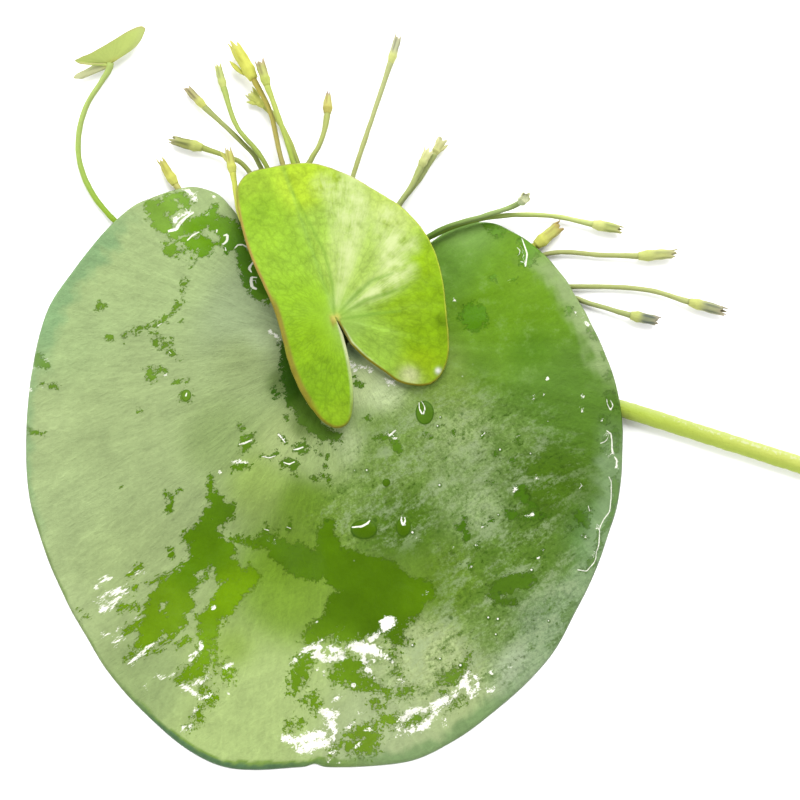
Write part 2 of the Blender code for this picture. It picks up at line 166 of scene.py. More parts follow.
# Flowers: direction and height where the stalk leaves the crown, points on its way, the base
# and the tip of the bud, the bud's width, and how far the bud's tips stand apart
FLOWERS = (
    (148, LOW, ((-18, 20, 0.9), (-31, 29.5, 1.0)),
     (-34.5, 34, 1.2), (-38, 39.9, 1.4), 2.3, 0.55),
    (136, HIGH, ((-10.5, 19, 2.6), (-19.5, 36.4, 2.0), (-24.6, 40, 1.4)),
     (-29, 41.7, 1.4), (-36.1, 43.6, 1.4), 2.5, 0.8),
    (131, LOW, ((-10.3, 21, 1.4), (-17.4, 37.8, 1.9), (-21.5, 43.1, 1.8)),
     (-28.7, 50.1, 1.4), (-33.1, 55, 1.2), 1.9, 0.85),
    (119, HIGH, ((-8.5, 20, 3.2), (-16.1, 37.6, 3.6), (-22.1, 45.8, 2.9)),
     (-24.9, 53.9, 1.8), (-26.4, 59.7, 1.3), 1.8, 0.8),
    (114, LOW, ((-7.8, 22, 1.4), (-12.9, 38.5, 2.4), (-15.3, 48.6, 3.0)),
     (-18.7, 55.6, 2.7), (-23.4, 64.2, 1.8), 3.0, 0.8),
    (102, HIGH, ((-5.8, 21, 3.4), (-10.6, 38.2, 3.9), (-13.8, 48, 4.2)),
     (-15.9, 53.8, 4.3), (-17.7, 59.7, 3.7), 2.2, 1.15),
    (97, LOW, ((-5.6, 22, 1.0), (-9.8, 38.7, 1.2), (-13.4, 46.9, 0.8)),
     (-16.5, 50.5, 0.9), (-20.3, 53.5, 1.1), 1.9, 1.1),
    (153, HIGH, ((-9.3, 13.6, 3.45), (-14.5, 21, 4.3), (-20.6, 25.6, 4.6)),
     (-22.7, 35.6, 4.3), (-23.8, 41.3, 4.2), 2.1, 0.6),
    (88, HIGH, ((-5.2, 21, 3.0), (-8.2, 35, 2.8), (-7, 39, 2.7), (-5.4, 42, 2.4), (-4.3, 45.5, 2.1)),
     (-3.8, 48.7, 1.7), (-3.6, 54, 1.2), 2.2, 0.2),
    (78, LOW, ((-2.9, 21, 1.1), (1.3, 35.4, 1.4), (5.5, 48.6, 1.3)),
     (9, 59.4, 1.2), (10.9, 66, 1.3), 1.9, 0.75),
    (65, HIGH, ((5.5, 20, 3.1), (10.6, 29.4, 2.8), (13, 33, 2.7)),
     (15.1, 37.4, 2.7), (17.1, 41.2, 2.7), 2.0, 1.2),
    (61, LOW, ((6.5, 19, 1.2), (10.7, 29.5, 1.1), (14.9, 35.2, 1.0)),
     (17.9, 40.3, 1.0), (19.9, 44, 1.4), 1.9, 1.5),
    (48, HIGH, ((9.2, 16.5, 3.8), (18.4, 23.7, 4.5), (27.9, 27, 4.0), (33.2, 28.8, 3.8)),
     (35.2, 29.4, 5.3), (36.3, 30.1, 7.9), 2.1, 1.3),
    (45, LOW, ((8.7, 16.9, 2.4), (18.6, 23.6, 3.0), (29, 27, 2.6), (40.6, 27.7, 1.4)),
     (49.8, 26, 1.3), (56.4, 24.6, 1.3), 2.4, 0.75),
    (30, HIGH, ((15.5, 10.5, 2.6), (28, 17, 1.5)),
     (38.3, 21.4, 1.3), (44.1, 26, 1.6), 2.9, 0.75),
    (27, LOW, ((16, 9, 1.0), (29, 14.4, 0.9), (41, 19.9, 0.9), (52, 19.6, 0.9)),
     (58.9, 19.3, 1.35), (67.4, 19.8, 1.5), 2.5, 0.75),
    (10, HIGH, ((18, 6.4, 2.4), (34, 12, 1.1), (46.3, 13.1, 0.9), (60, 12.6, 0.9)),
     (69, 10, 1.3), (77, 7.7, 1.4), 2.4, 0.9),
    (9, LOW, ((19, 4.2, 0.9), (34, 8.2, 0.9), (44, 11, 0.9), (49.5, 9.6, 0.9)),
     (57.2, 7.2, 1.4), (63.6, 5.9, 1.5), 2.5, 0.8),
)
# Colours of each flower: stalk by the crown, stalk by the bud, swollen base, sepals, their
# tips, the streak down each sepal, and how strong that streak is
FLOWER_COLOURS = (
    ((190, 190, 100), (226, 224, 130), (232, 234, 116), (222, 220, 108), (214, 206, 124),
     (180, 178, 84), 0.5),
    ((126, 146, 60), (186, 198, 104), (212, 220, 124), (186, 192, 110), (206, 204, 150),
     (126, 134, 80), 0.8),
    ((158, 178, 88), (186, 196, 120), (224, 228, 124), (204, 200, 136), (206, 190, 150),
     (140, 132, 92), 0.8),
    ((150, 172, 60), (196, 214, 116), (224, 234, 138), (210, 222, 138), (230, 234, 140),
     (150, 154, 96), 0.5),
    ((226, 218, 140), (200, 188, 88), (236, 238, 108), (232, 234, 106), (242, 238, 132),
     (196, 190, 70), 0.4),
    ((170, 204, 60), (210, 224, 116), (210, 222, 112), (212, 216, 130), (208, 186, 150),
     (150, 140, 90), 0.6),
    # Flower 7's bud is painted lighter, as painted light against the shade of the stalks above it
    ((150, 170, 80), (206, 216, 112), (244, 252, 128), (240, 248, 130), (250, 250, 176),
     (190, 196, 96), 0.3),
    ((222, 230, 86), (230, 236, 108), (232, 236, 116), (220, 222, 118), (224, 214, 140),
     (176, 160, 90), 0.6),
    ((180, 196, 98), (200, 210, 122), (214, 206, 110), (226, 226, 134), (186, 170, 160),
     (186, 150, 90), 0.5),
    ((206, 214, 128), (206, 214, 146), (232, 238, 148), (214, 218, 172), (220, 214, 172),
     (136, 136, 108), 0.6),
    ((178, 194, 118), (204, 216, 136), (226, 234, 150), (240, 242, 168), (252, 250, 190),
     (200, 204, 130), 0.4),
    ((176, 192, 118), (196, 208, 134), (230, 234, 150), (244, 244, 172), (254, 252, 196),
     (206, 208, 136), 0.4),
    ((112, 148, 52), (176, 200, 124), (206, 226, 164), (232, 242, 190), (250, 252, 200),
     (178, 188, 140), 0.5),
    ((142, 176, 60), (224, 238, 148), (236, 242, 150), (206, 216, 128), (214, 212, 142),
     (150, 160, 96), 0.7),
    ((190, 200, 80), (214, 220, 90), (228, 232, 112), (226, 228, 124), (196, 168, 100),
     (176, 166, 90), 0.6),
    ((174, 180, 108), (204, 212, 134), (220, 228, 134), (216, 222, 138), (216, 212, 156),
     (166, 172, 116), 0.6),
    ((170, 182, 102), (206, 214, 138), (220, 226, 132), (180, 184, 138), (206, 196, 160),
     (120, 130, 106), 0.8),
    ((176, 190, 116), (192, 204, 130), (212, 220, 130), (160, 168, 132), (196, 186, 156),
     (106, 116, 106), 0.9),
)
BUD_SEPALS = 5
STALK_RADIUS = 0.55

# Colours that run into each other on the big leaf, as (x, y, spread, colour), where it is dry
DRY_TINTS = {
    "left side": (-47, -21, 16, (173, 193, 132)),
    "left rim": (-58, 2, 9, (178, 202, 138)),
    "left top": (-39, 17, 11, (180, 203, 138)),
    "left of the drops": (-26, -19, 6, (154, 178, 110)),
    "left rim, low": (-59, -16, 6, (184, 204, 142)),
    "beside the young leaf": (-20, 7, 7, (170, 190, 140)),
    "below the young leaf": (-20, -2, 5, (164, 184, 122)),
    "far left": (-55, -32, 14, (184, 205, 143)),
    "lower left": (-45, -40, 13, (171, 191, 128)),
    "below the stream": (-22, -60, 4, (150, 180, 78)),
    "bottom left": (-19, -71, 12, (188, 211, 134)),
    "bottom left, outer": (-39, -66, 7, (164, 186, 122)),
    "lower left rim": (-54, -50, 6, (186, 206, 144)),
    "bottom": (5, -78, 8, (184, 202, 146)),
    "under the stream": (-11, -50, 7, (134, 170, 56)),
    "between the films": (-12, -44, 6, (118, 156, 34)),
    "above the films": (-8, -31, 5, (116, 152, 42)),
    "above the films, left": (-17, -27, 5, (164, 192, 98)),
    "above the films, right": (-5, -23, 4, (170, 192, 124)),
    # Painted shadow that the young leaf casts beside and below its left lobe
    "shade beside the left lobe": (-13, -7, 2, (110, 134, 72)),
    "shade below the left lobe": (-8.5, -16.5, 2, (118, 142, 74)),
    # Painted light that offsets the young leaf's shade to the left of it
    "light left of the shade": (-17, 2, 3, (192, 212, 158)),
    "below the dark": (-12, -20, 4, (182, 202, 132)),
    "in the notch": (3, -7, 3, (206, 224, 160)),
    "right of the notch's end": (8, -9, 3, (206, 224, 166)),
    "under the notch": (1, -20, 3, (184, 204, 144)),
    "middle": (10, -22, 7, (126, 158, 72)),
    "below the drops": (12, -34, 5, (84, 122, 14)),
    "right of the notch": (20, -6, 6, (134, 166, 70)),
    "pale, right": (23, -18, 5, (160, 184, 116)),
    "right, upper": (34, -18, 4, (132, 164, 84)),
    "pale, middle right": (27, -31, 4, (160, 184, 124)),
    "lobe, upper right": (35, 13, 5, (128, 174, 44)),
    "right middle": (25, -24, 7, (136, 162, 98)),
    "right": (38, -26, 7, (78, 116, 4)),
    "right lobe": (31, 10, 11, (114, 162, 24)),
    "lobe's inner side": (22, 16, 7, (110, 158, 50)),
    "lobe's top": (24, 24, 5, (150, 196, 96)),
    "right edge": (42, -10, 9, (98, 140, 44)),
    "right of the middle": (27, -4, 4, (106, 150, 36)),
    "lobe, low": (37, 0, 4, (92, 140, 20)),
    "right rim, low": (51, -39, 5, (110, 150, 82)),
    "pale, right low": (19, -61, 6, (190, 208, 144)),
    "low right": (35, -43, 8, (98, 134, 42)),
    "right low rim": (42, -54, 7, (140, 165, 120)),
    "low right, inner": (21, -48, 6, (108, 144, 36)),
    "low right, outer": (28, -55, 5, (120, 152, 70)),
    "low right, pale": (35, -63, 4, (184, 202, 162)),
}
# The same under the wet film
FILM_TINTS = {
    # The film beside and below the young leaf's left lobe is darkened with painted shadow that the young
    # leaf casts
    "shade beside the left lobe": (-12, -7, 4, (58, 100, 14)),
    "shade below the left lobe": (-8, -15, 4, (94, 132, 40)),
    "notch": (8, -15, 5, (94, 136, 32)),
    "lobe, left": (-36, 27, 4, (130, 172, 60)),
    "lobe": (-28, 24, 4, (112, 164, 18)),
    "lobe by the young leaf": (-20, 18, 5, (84, 134, 18)),
    "squiggle": (-38, 0, 10, (112, 152, 44)),
    "stream top": (-27, -31, 5, (96, 140, 14)),
    "stream": (-30, -42, 5, (98, 142, 10)),
    "stream, left": (-37, -54, 7, (116, 157, 16)),
    "stream, right": (-22, -49, 4, (124, 168, 10)),
    "stream, low": (-27, -61, 5, (122, 166, 16)),
    "middle": (6, -45, 10, (84, 123, 7)),
    "middle, right": (14, -50, 4, (98, 140, 10)),
    "middle, left": (-6, -43, 6, (92, 134, 8)),
    "low": (-2, -64, 6, (112, 154, 26)),
    "bottom": (3, -76, 6, (122, 160, 40)),
    "low right": (20, -66, 6, (112, 150, 44)),
    "right": (36, -34, 10, (80, 124, 22)),
    "right low": (33, -47, 5, (84, 122, 26)),
    "right rim": (53, -22, 4, (92, 134, 40)),
    "round spot": (26, 6, 5, (96, 152, 18)),
    "right lobe": (34, 20, 7, (110, 164, 40)),
}

# The wet film, as brush strokes: each a chain of (x, y, half width)
FILM_STROKES = {
    "left lobe": (
        ((-39.3, 29.2, 1.4), (-36.8, 28.8, 2.1), (-33.8, 30.6, 2.1), (-31.8, 29.5, 1)),
        ((-37.8, 27, 1.9), (-36.1, 24.8, 1.6), (-35, 23.4, 0.9)),
        ((-33.2, 24.1, 1.2), (-30.5, 25.1, 1.6), (-27.4, 26.2, 1.6), (-26.5, 29, 0.6)),
        ((-25, 25.9, 1.4), (-22.8, 23.7, 2.4), (-21.1, 21.5, 1.4)),
        ((-25.6, 24.4, 2.1), (-24.2, 22.2, 1.9)),
        ((-34.9, 19.8, 1.4), (-33.5, 20.5, 1.4), (-31.5, 21.5, 1.6), (-28.7, 21.5, 1.6),
         (-26.3, 22.2, 1.7)), ((-28.3, 19.7, 1), (-27.3, 20.2, 0.9)),
        ((-23.8, 20.4, 1), (-22.4, 21.5, 1.2)), ((-35.3, 20.4, 1.3), (-34.2, 19.1, 1)),
        ((-20.7, 19.7, 1.2), (-19.9, 17.8, 1.7), (-19.2, 15.3, 1.9), (-18.1, 13.2, 2.1),
         (-16.7, 11, 1.9), (-15.3, 9.3, 1)),
    ),
    # Partly wet film, partly painted shadow that the young leaf casts beside its left lobe
    "shade beside the left lobe": (
        ((-12.6, 1, 0.5), (-11.8, -2.2, 1.1), (-10.8, -6, 1.9), (-9.4, -10.6, 2.3), (-7, -14.4, 2.1),
         (-4.4, -17, 1.5), (-1, -18.4, 0.8)), ((-14, -8.6, 0.5), (-13.4, -10, 0.5)),
        ((-11.6, -14.6, 0.4),), ((6, -18.4, 0.3), (9.4, -18, 0.6), (10.6, -20.4, 0.7)),
        ((1.6, -6.6, 0.5), (3.4, -7.8, 0.5)),
    ),
    "left squiggle": (
        ((-32.9, 11.7, 0.3), (-32.5, 10.3, 0.3), (-32, 9.4, 0.3)),
        ((-33.6, 9.3, 0.3), (-33, 8.6, 0.3), (-34.1, 7.9, 0.2)),
        ((-34.8, 7.2, 0.2), (-35.8, 6.5, 0.2), (-37.5, 5.2, 0.2), (-38.7, 4.1, 0.2)),
        ((-39.6, 4.5, 0.3), (-41, 4.2, 0.4), (-42.2, 3.3, 0.5), (-42.7, 4.2, 0.3)),
        ((-44.1, 2.7, 0.2), (-44.8, 2, 0.2)), ((-46.5, 2, 0.5), (-47.1, 2.5, 0.3)),
        ((-38.7, 3.4, 0.2), (-37.5, 2.7, 0.3), (-36.6, 2.1, 0.2)), ((-38, 1.1, 0.7), (-37.4, 0.2, 0.4)),
        ((-36.4, 0.6, 0.5), (-35, 0.9, 0.7), (-34.7, 1.8, 0.3)), ((-35.1, -0.3, 0.5), (-34.3, -1.1, 0.5)),
        ((-33.5, -2.3, 0.3),), ((-38.7, -5.5, 1.2), (-39.3, -4.4, 0.7)),
        ((-37.3, -4.5, 0.4), (-36.8, -3.6, 0.3)), ((-35.8, -4.9, 0.3),),
        ((-33.6, -6.9, 0.3), (-32.6, -7.1, 0.2), (-31.7, -6.8, 0.4)),
        ((-40.9, -12.6, 0.3), (-40.3, -12.9, 0.3)), ((-32, 9.5, 0.2),), ((-35.4, 5.3, 0.2),),
        ((-32.6, 5.4, 0.2),), ((-49.5, 9.9, 0.2),),
    ),
    "left rim": (
        ((-61.7, -1.2, 0.8), (-61.2, -2.5, 1.2), (-60.1, -3.2, 0.6)),
        ((-60.9, -6.7, 0.2), (-59.5, -7.2, 0.2), (-57.8, -7.7, 0.3)),
        ((-64, -15.7, 0.4), (-63, -16.4, 0.3), (-60.1, -17, 0.1)),
        ((-19.8, -20.4, 0.5), (-19.2, -19, 0.9), (-18.2, -17.6, 0.5)),
    ),
    "stream": (
        ((-26.3, -26.3, 0.5), (-26.6, -28, 0.4), (-26.3, -29.3, 1), (-25.5, -30.6, 1.8)),
        ((-26.4, -32.9, 1.7), (-25, -32.9, 2.4), (-22.6, -32.3, 1.3), (-22.2, -31.3, 0.5)),
        ((-31.2, -37.5, 1.1), (-29.2, -37, 1.7), (-26.8, -35.9, 2.6), (-24.6, -35.7, 0.9)),
        ((-29.2, -38.6, 2.1), (-27.5, -40, 3.4), (-23.7, -40, 2.4)),
        ((-29.1, -43.4, 2.8), (-32.5, -46.8, 2.9), (-35.8, -50.2, 3.1), (-37.1, -53.6, 2.8),
         (-38.4, -56.7, 2.4), (-40.2, -59.1, 1.2)),
        ((-34.1, -48.9, 2.8), (-32.4, -52.3, 3.1), (-34.4, -55, 2.1)),
        ((-24, -43.4, 2.9), (-21.3, -44.1, 2.1), (-18.5, -45.4, 1.7), (-22.3, -48.2, 2.4),
         (-23.9, -51.2, 2.6), (-26.6, -53.9, 2.4), (-26.9, -56.7, 1.9)),
        ((-27, -58.4, 1.5), (-27.6, -61.4, 1.6), (-28.8, -63.4, 1.7), (-31.5, -65.1, 1.3),
         (-32.8, -65.5, 0.8)),
        ((-22.4, -37.9, 0.7), (-18.9, -38.6, 1.2), (-15.5, -38.6, 1.2), (-12.4, -39.4, 1.6)),
        ((-25.9, -61.7, 0.9), (-25.4, -63.1, 0.6)),
        ((-23.7, -62.4, 0.6), (-22.8, -65.1, 1), (-22, -64.4, 0.5)), ((-27.7, -66.8, 0.7),),
        ((-27.7, -68.1, 0.4), (-27, -69.8, 0.8), (-26, -68.8, 0.7)),
        ((-28, -71.2, 0.5), (-28.7, -72.8, 0.7), (-29.7, -74.2, 0.6), (-30.7, -75, 0.4)),
        ((-32.8, -28.6, 0.2), (-34, -29.6, 0.4), (-34.9, -32.3, 0.5)),
        ((-35.6, -29.2, 0.3), (-35.3, -30.8, 0.2)), ((-44.6, -27.4, 0.2),),
        ((-22, -24, 0.6), (-20.5, -23.8, 0.8), (-19, -23.9, 0.5)),
        ((-11.9, -23.1, 0.9), (-10.2, -23.3, 1), (-9.8, -25.4, 0.4)),
        ((-15.4, -35, 0.3), (-14.6, -35.8, 0.2)), ((-13, -35.9, 0.2),),
        ((-10.8, -34.7, 0.5), (-10.8, -35.6, 0.4)),
    ),
    "drops by the left lobe": (
        ((-9.6, -20.3, 0.9), (-8.2, -20, 1.3), (-7.6, -19, 0.5)),
        ((-16.2, -21.6, 0.4), (-14.6, -22, 0.5)), ((-13.6, -21.2, 0.4),),
        ((-12.6, -17.9, 0.4), (-11.8, -18.9, 0.3)), ((4.8, -14.2, 0.6),),
        ((-5.8, -26.4, 0.5), (-4.9, -25.6, 0.4)), ((-3.2, -26, 0.5), (-3, -27.2, 0.4)),
        ((-15.6, -36.4, 0.4),), ((-13.3, -37, 0.4),), ((-11, -36.2, 0.5),), ((-4.6, -19.6, 0.3),),
        ((-3.4, -22, 0.3),), ((-2, -20.4, 0.2),), ((-3.8, -24, 0.3),), ((-5, -21.4, 0.3),),
    ),
    "ragged left": (
        ((-40.6, -43.8, 0.5), (-42.6, -45.5, 0.3)), ((-42.6, -48.4, 0.5), (-41.2, -47.4, 0.4)),
        ((-44.3, -51.6, 0.6), (-41.2, -51.3, 0.8)), ((-42.7, -56, 0.9), (-40.8, -54.7, 0.8)),
        ((-39.2, -47, 0.3), (-35.9, -46, 0.5)), ((-34.5, -40.1, 0.5), (-34.1, -41.4, 0.3)),
        ((-50.8, -53.4, 0.3),), ((-52.2, -52.3, 0.2),), ((-51.5, -54.8, 0.3),),
        ((-42.9, -61.7, 0.5), (-41.1, -60.4, 0.3)), ((-39, -60.7, 0.2), (-36, -59.7, 0.2)),
        ((-32.9, -59.2, 0.3), (-30.8, -58, 0.5)), ((-36, -58.7, 0.3), (-33.6, -57, 0.3)),
    ),
    "middle": (
        ((-12.7, -40.4, 2.1), (-9.6, -41.9, 3.1), (-6.2, -43.3, 3.1)),
        ((-3.2, -35.4, 1.3), (-3.4, -38.3, 1.9), (-3.1, -42.3, 2.8)),
        ((-0.4, -44, 4.1), (3.7, -45, 4.1), (7.4, -45, 3.3), (10.5, -45.7, 1.9)),
        ((4.4, -49.4, 5.2), (9.1, -49.4, 5.2), (13.5, -48.7, 3.3), (16.1, -48.4, 2.1)),
        ((0, -52.1, 3.8), (4.4, -53.5, 4.1), (9.1, -53.4, 3.3), (13.9, -51.4, 2.1)),
        ((-2.7, -54.8, 2.8), (-5.8, -56.5, 1.7), (-7.1, -58, 1)), ((1.7, -56.1, 2.1), (-1, -57.1, 1.7)),
        ((9.8, -56.8, 2.1), (10.5, -58.2, 1.3), (11.8, -58.3, 0.8)),
    ),
    "below the middle": (
        ((-6.8, -60.8, 1), (-8.1, -62.2, 1.6), (-8.4, -63.9, 1.6), (-9.1, -66.2, 1.6),
         (-10.1, -67.5, 0.8)), ((-5.7, -69.2, 0.8), (-5.6, -70.9, 0.8)),
        ((-7.4, -68.6, 0.3), (-7.8, -70.2, 0.4)),
        ((-11.1, -74.6, 0.6), (-9.8, -74.2, 0.4), (-8.4, -73.9, 0.4)),
        ((-1.7, -62.9, 1), (0.7, -62.7, 1.9), (2.4, -62.9, 1.7)),
        ((-1, -64.9, 1.6), (1.7, -65.2, 2.1), (4.4, -66.2, 1.6)),
        ((5.8, -67, 1), (7.5, -67.9, 0.6), (8.8, -68.4, 0.7)),
        ((11.2, -67.9, 1.1), (12.5, -67.9, 0.9), (13.9, -67.7, 0.3)),
        ((5.6, -69.9, 0.4), (6.5, -70.3, 0.8), (7.2, -70.9, 0.5)), ((8.8, -60.5, 0.5), (9.6, -61.2, 0.5)),
        ((10.5, -63.5, 0.3), (10.9, -64.5, 0.5)), ((6.4, -74, 0.6), (8.5, -73.3, 1), (9.8, -73.3, 1.1)),
        ((1.7, -76.2, 1.6), (3.7, -75.9, 1.7), (5.8, -76.6, 1.5), (4.4, -78.6, 1.7), (1, -78.6, 1.3)),
        ((-1, -78.6, 1), (-2.3, -79.6, 0.7)), ((14.2, -73.2, 1), (12.5, -74.2, 0.6), (15.6, -72.6, 0.5)),
        ((21.3, -70.6, 0.7), (22.3, -70.2, 0.6), (23.4, -68.9, 0.4)),
        ((19, -66.2, 0.7), (20.7, -65.5, 1.5), (22.7, -64.5, 1.4), (23.5, -63.3, 0.9)),
        ((19.6, -68.1, 0.8),), ((24.4, -61, 0.5), (24.7, -60.5, 0.3)),
    ),
    "right half": (
        ((32.2, -32.6, 0.8), (33.3, -33.5, 1)),
        ((36.2, -33.5, 1), (38.3, -33.5, 0.9), (40.3, -33.3, 0.3)), ((35, -28.8, 1.3), (35.9, -29.9, 1)),
        ((37.2, -30.8, 0.6),), ((23.1, -35.7, 1), (23.9, -34.8, 0.7), (24, -37.5, 0.7)),
        ((29.5, -27.3, 0.4), (28.6, -26.9, 0.2)), ((30.4, -21.5, 0.4), (29.8, -20.8, 0.2)),
        ((33.5, -22.3, 0.6),), ((46.9, -33.4, 1.3), (47.8, -34.6, 0.7), (48.5, -32.2, 0.4)),
        ((44.7, -36, 0.5),),
        ((30.3, -47.7, 1.5), (32.8, -46.8, 1.8), (36.1, -45.9, 1.3), (37.4, -46.8, 0.6)),
        ((28.8, -49.5, 0.9), (30.3, -50.1, 0.7), (33.4, -50.4, 0.7)),
        ((21.6, -17.1, 0.6), (22.3, -16.6, 0.3)), ((23.5, -17.3, 0.3),), ((27.7, -17.3, 0.6),),
        ((16.2, -17.4, 0.3),), ((17.4, -18.3, 0.2),), ((24.9, -43.6, 0.5),), ((26.1, -39.4, 0.5),),
        ((27.3, -35.5, 0.4),), ((29.2, -34.4, 0.4),), ((21.3, -40.6, 0.3),),
        ((39.3, -40.4, 0.3), (38.4, -41.5, 0.3)), ((47.6, -37.7, 0.4), (48.7, -37.4, 0.3)),
        ((34.4, -18.1, 0.3),),
    ),
    "right rim": (
        ((52.9, -9.9, 1.1), (53.6, -11.7, 0.9)), ((51.6, -14.5, 0.9),),
        ((53.6, -16.6, 0.6), (54.2, -18.7, 0.7), (53.9, -20.5, 0.6)),
        ((51.7, -18.7, 0.6), (51.9, -20.2, 0.4)),
        ((53.7, -25.9, 0.7), (54, -29.5, 0.7), (53.1, -33.4, 0.6), (51.6, -35.7, 0.4)),
        ((50.5, -37, 0.6), (50.5, -39.2, 0.6), (49.9, -40.4, 0.4)),
        ((49.7, -42.3, 0.6), (48, -44, 0.4), (46.8, -44.3, 0.2)),
    ),
    "right lobe": (
        ((28.4, 26.1, 0.7), (29.6, 24.7, 1), (31, 24.3, 1.1)),
        ((35.7, 22.1, 0.7), (37.2, 20.4, 1.7), (36.6, 18.3, 1.5)), ((38.7, 20, 0.9),),
        ((29.7, 14.2, 0.7),), ((34.3, 13.9, 0.4),), ((45.2, 7.8, 0.7),),
        ((49.4, 3.3, 0.6), (50.1, 2.2, 0.4)), ((42.1, 17.6, 0.5),), ((51.7, -1.1, 0.5),),
        ((52.8, -5.3, 0.8),),
    ),
    "round spot": (
        ((25.7, 6.1, 2.8),),
    ),
}
# Dry islands in the film
DRY_STROKES = {
    "left lobe": (
        ((-28, 24, 0.6), (-27, 23.1, 0.8), (-25.9, 22.2, 0.6)), ((-33.4, 20.9, 0.7), (-32.3, 20.2, 0.6)),
        ((-30, 19.7, 0.5),), ((-37.2, 29.9, 0.5),), ((-33.4, 29.1, 0.5),), ((-36.1, 27.7, 0.3),),
        ((-34.4, 30.3, 0.3),),
    ),
    "stream": (
        ((-28.4, -44.9, 0.8),), ((-26.4, -44.6, 0.8), (-25.8, -45.8, 0.5)),
        ((-27, -47.5, 1), (-28.3, -49.5, 1), (-28, -51.2, 0.7)),
        ((-29.7, -52.5, 0.6), (-30.5, -53.3, 0.6)),
        ((-21, -40.1, 0.8), (-19.6, -42.2, 1.2), (-17.7, -41.3, 0.5)), ((-24.1, -54.1, 0.5),),
        ((-24.9, -35.9, 0.3),), ((-35.8, -51.3, 0.4),),
    ),
    "right half": (
        ((34.6, -48.9, 0.6), (33.7, -49.3, 0.3)),
    ),
}
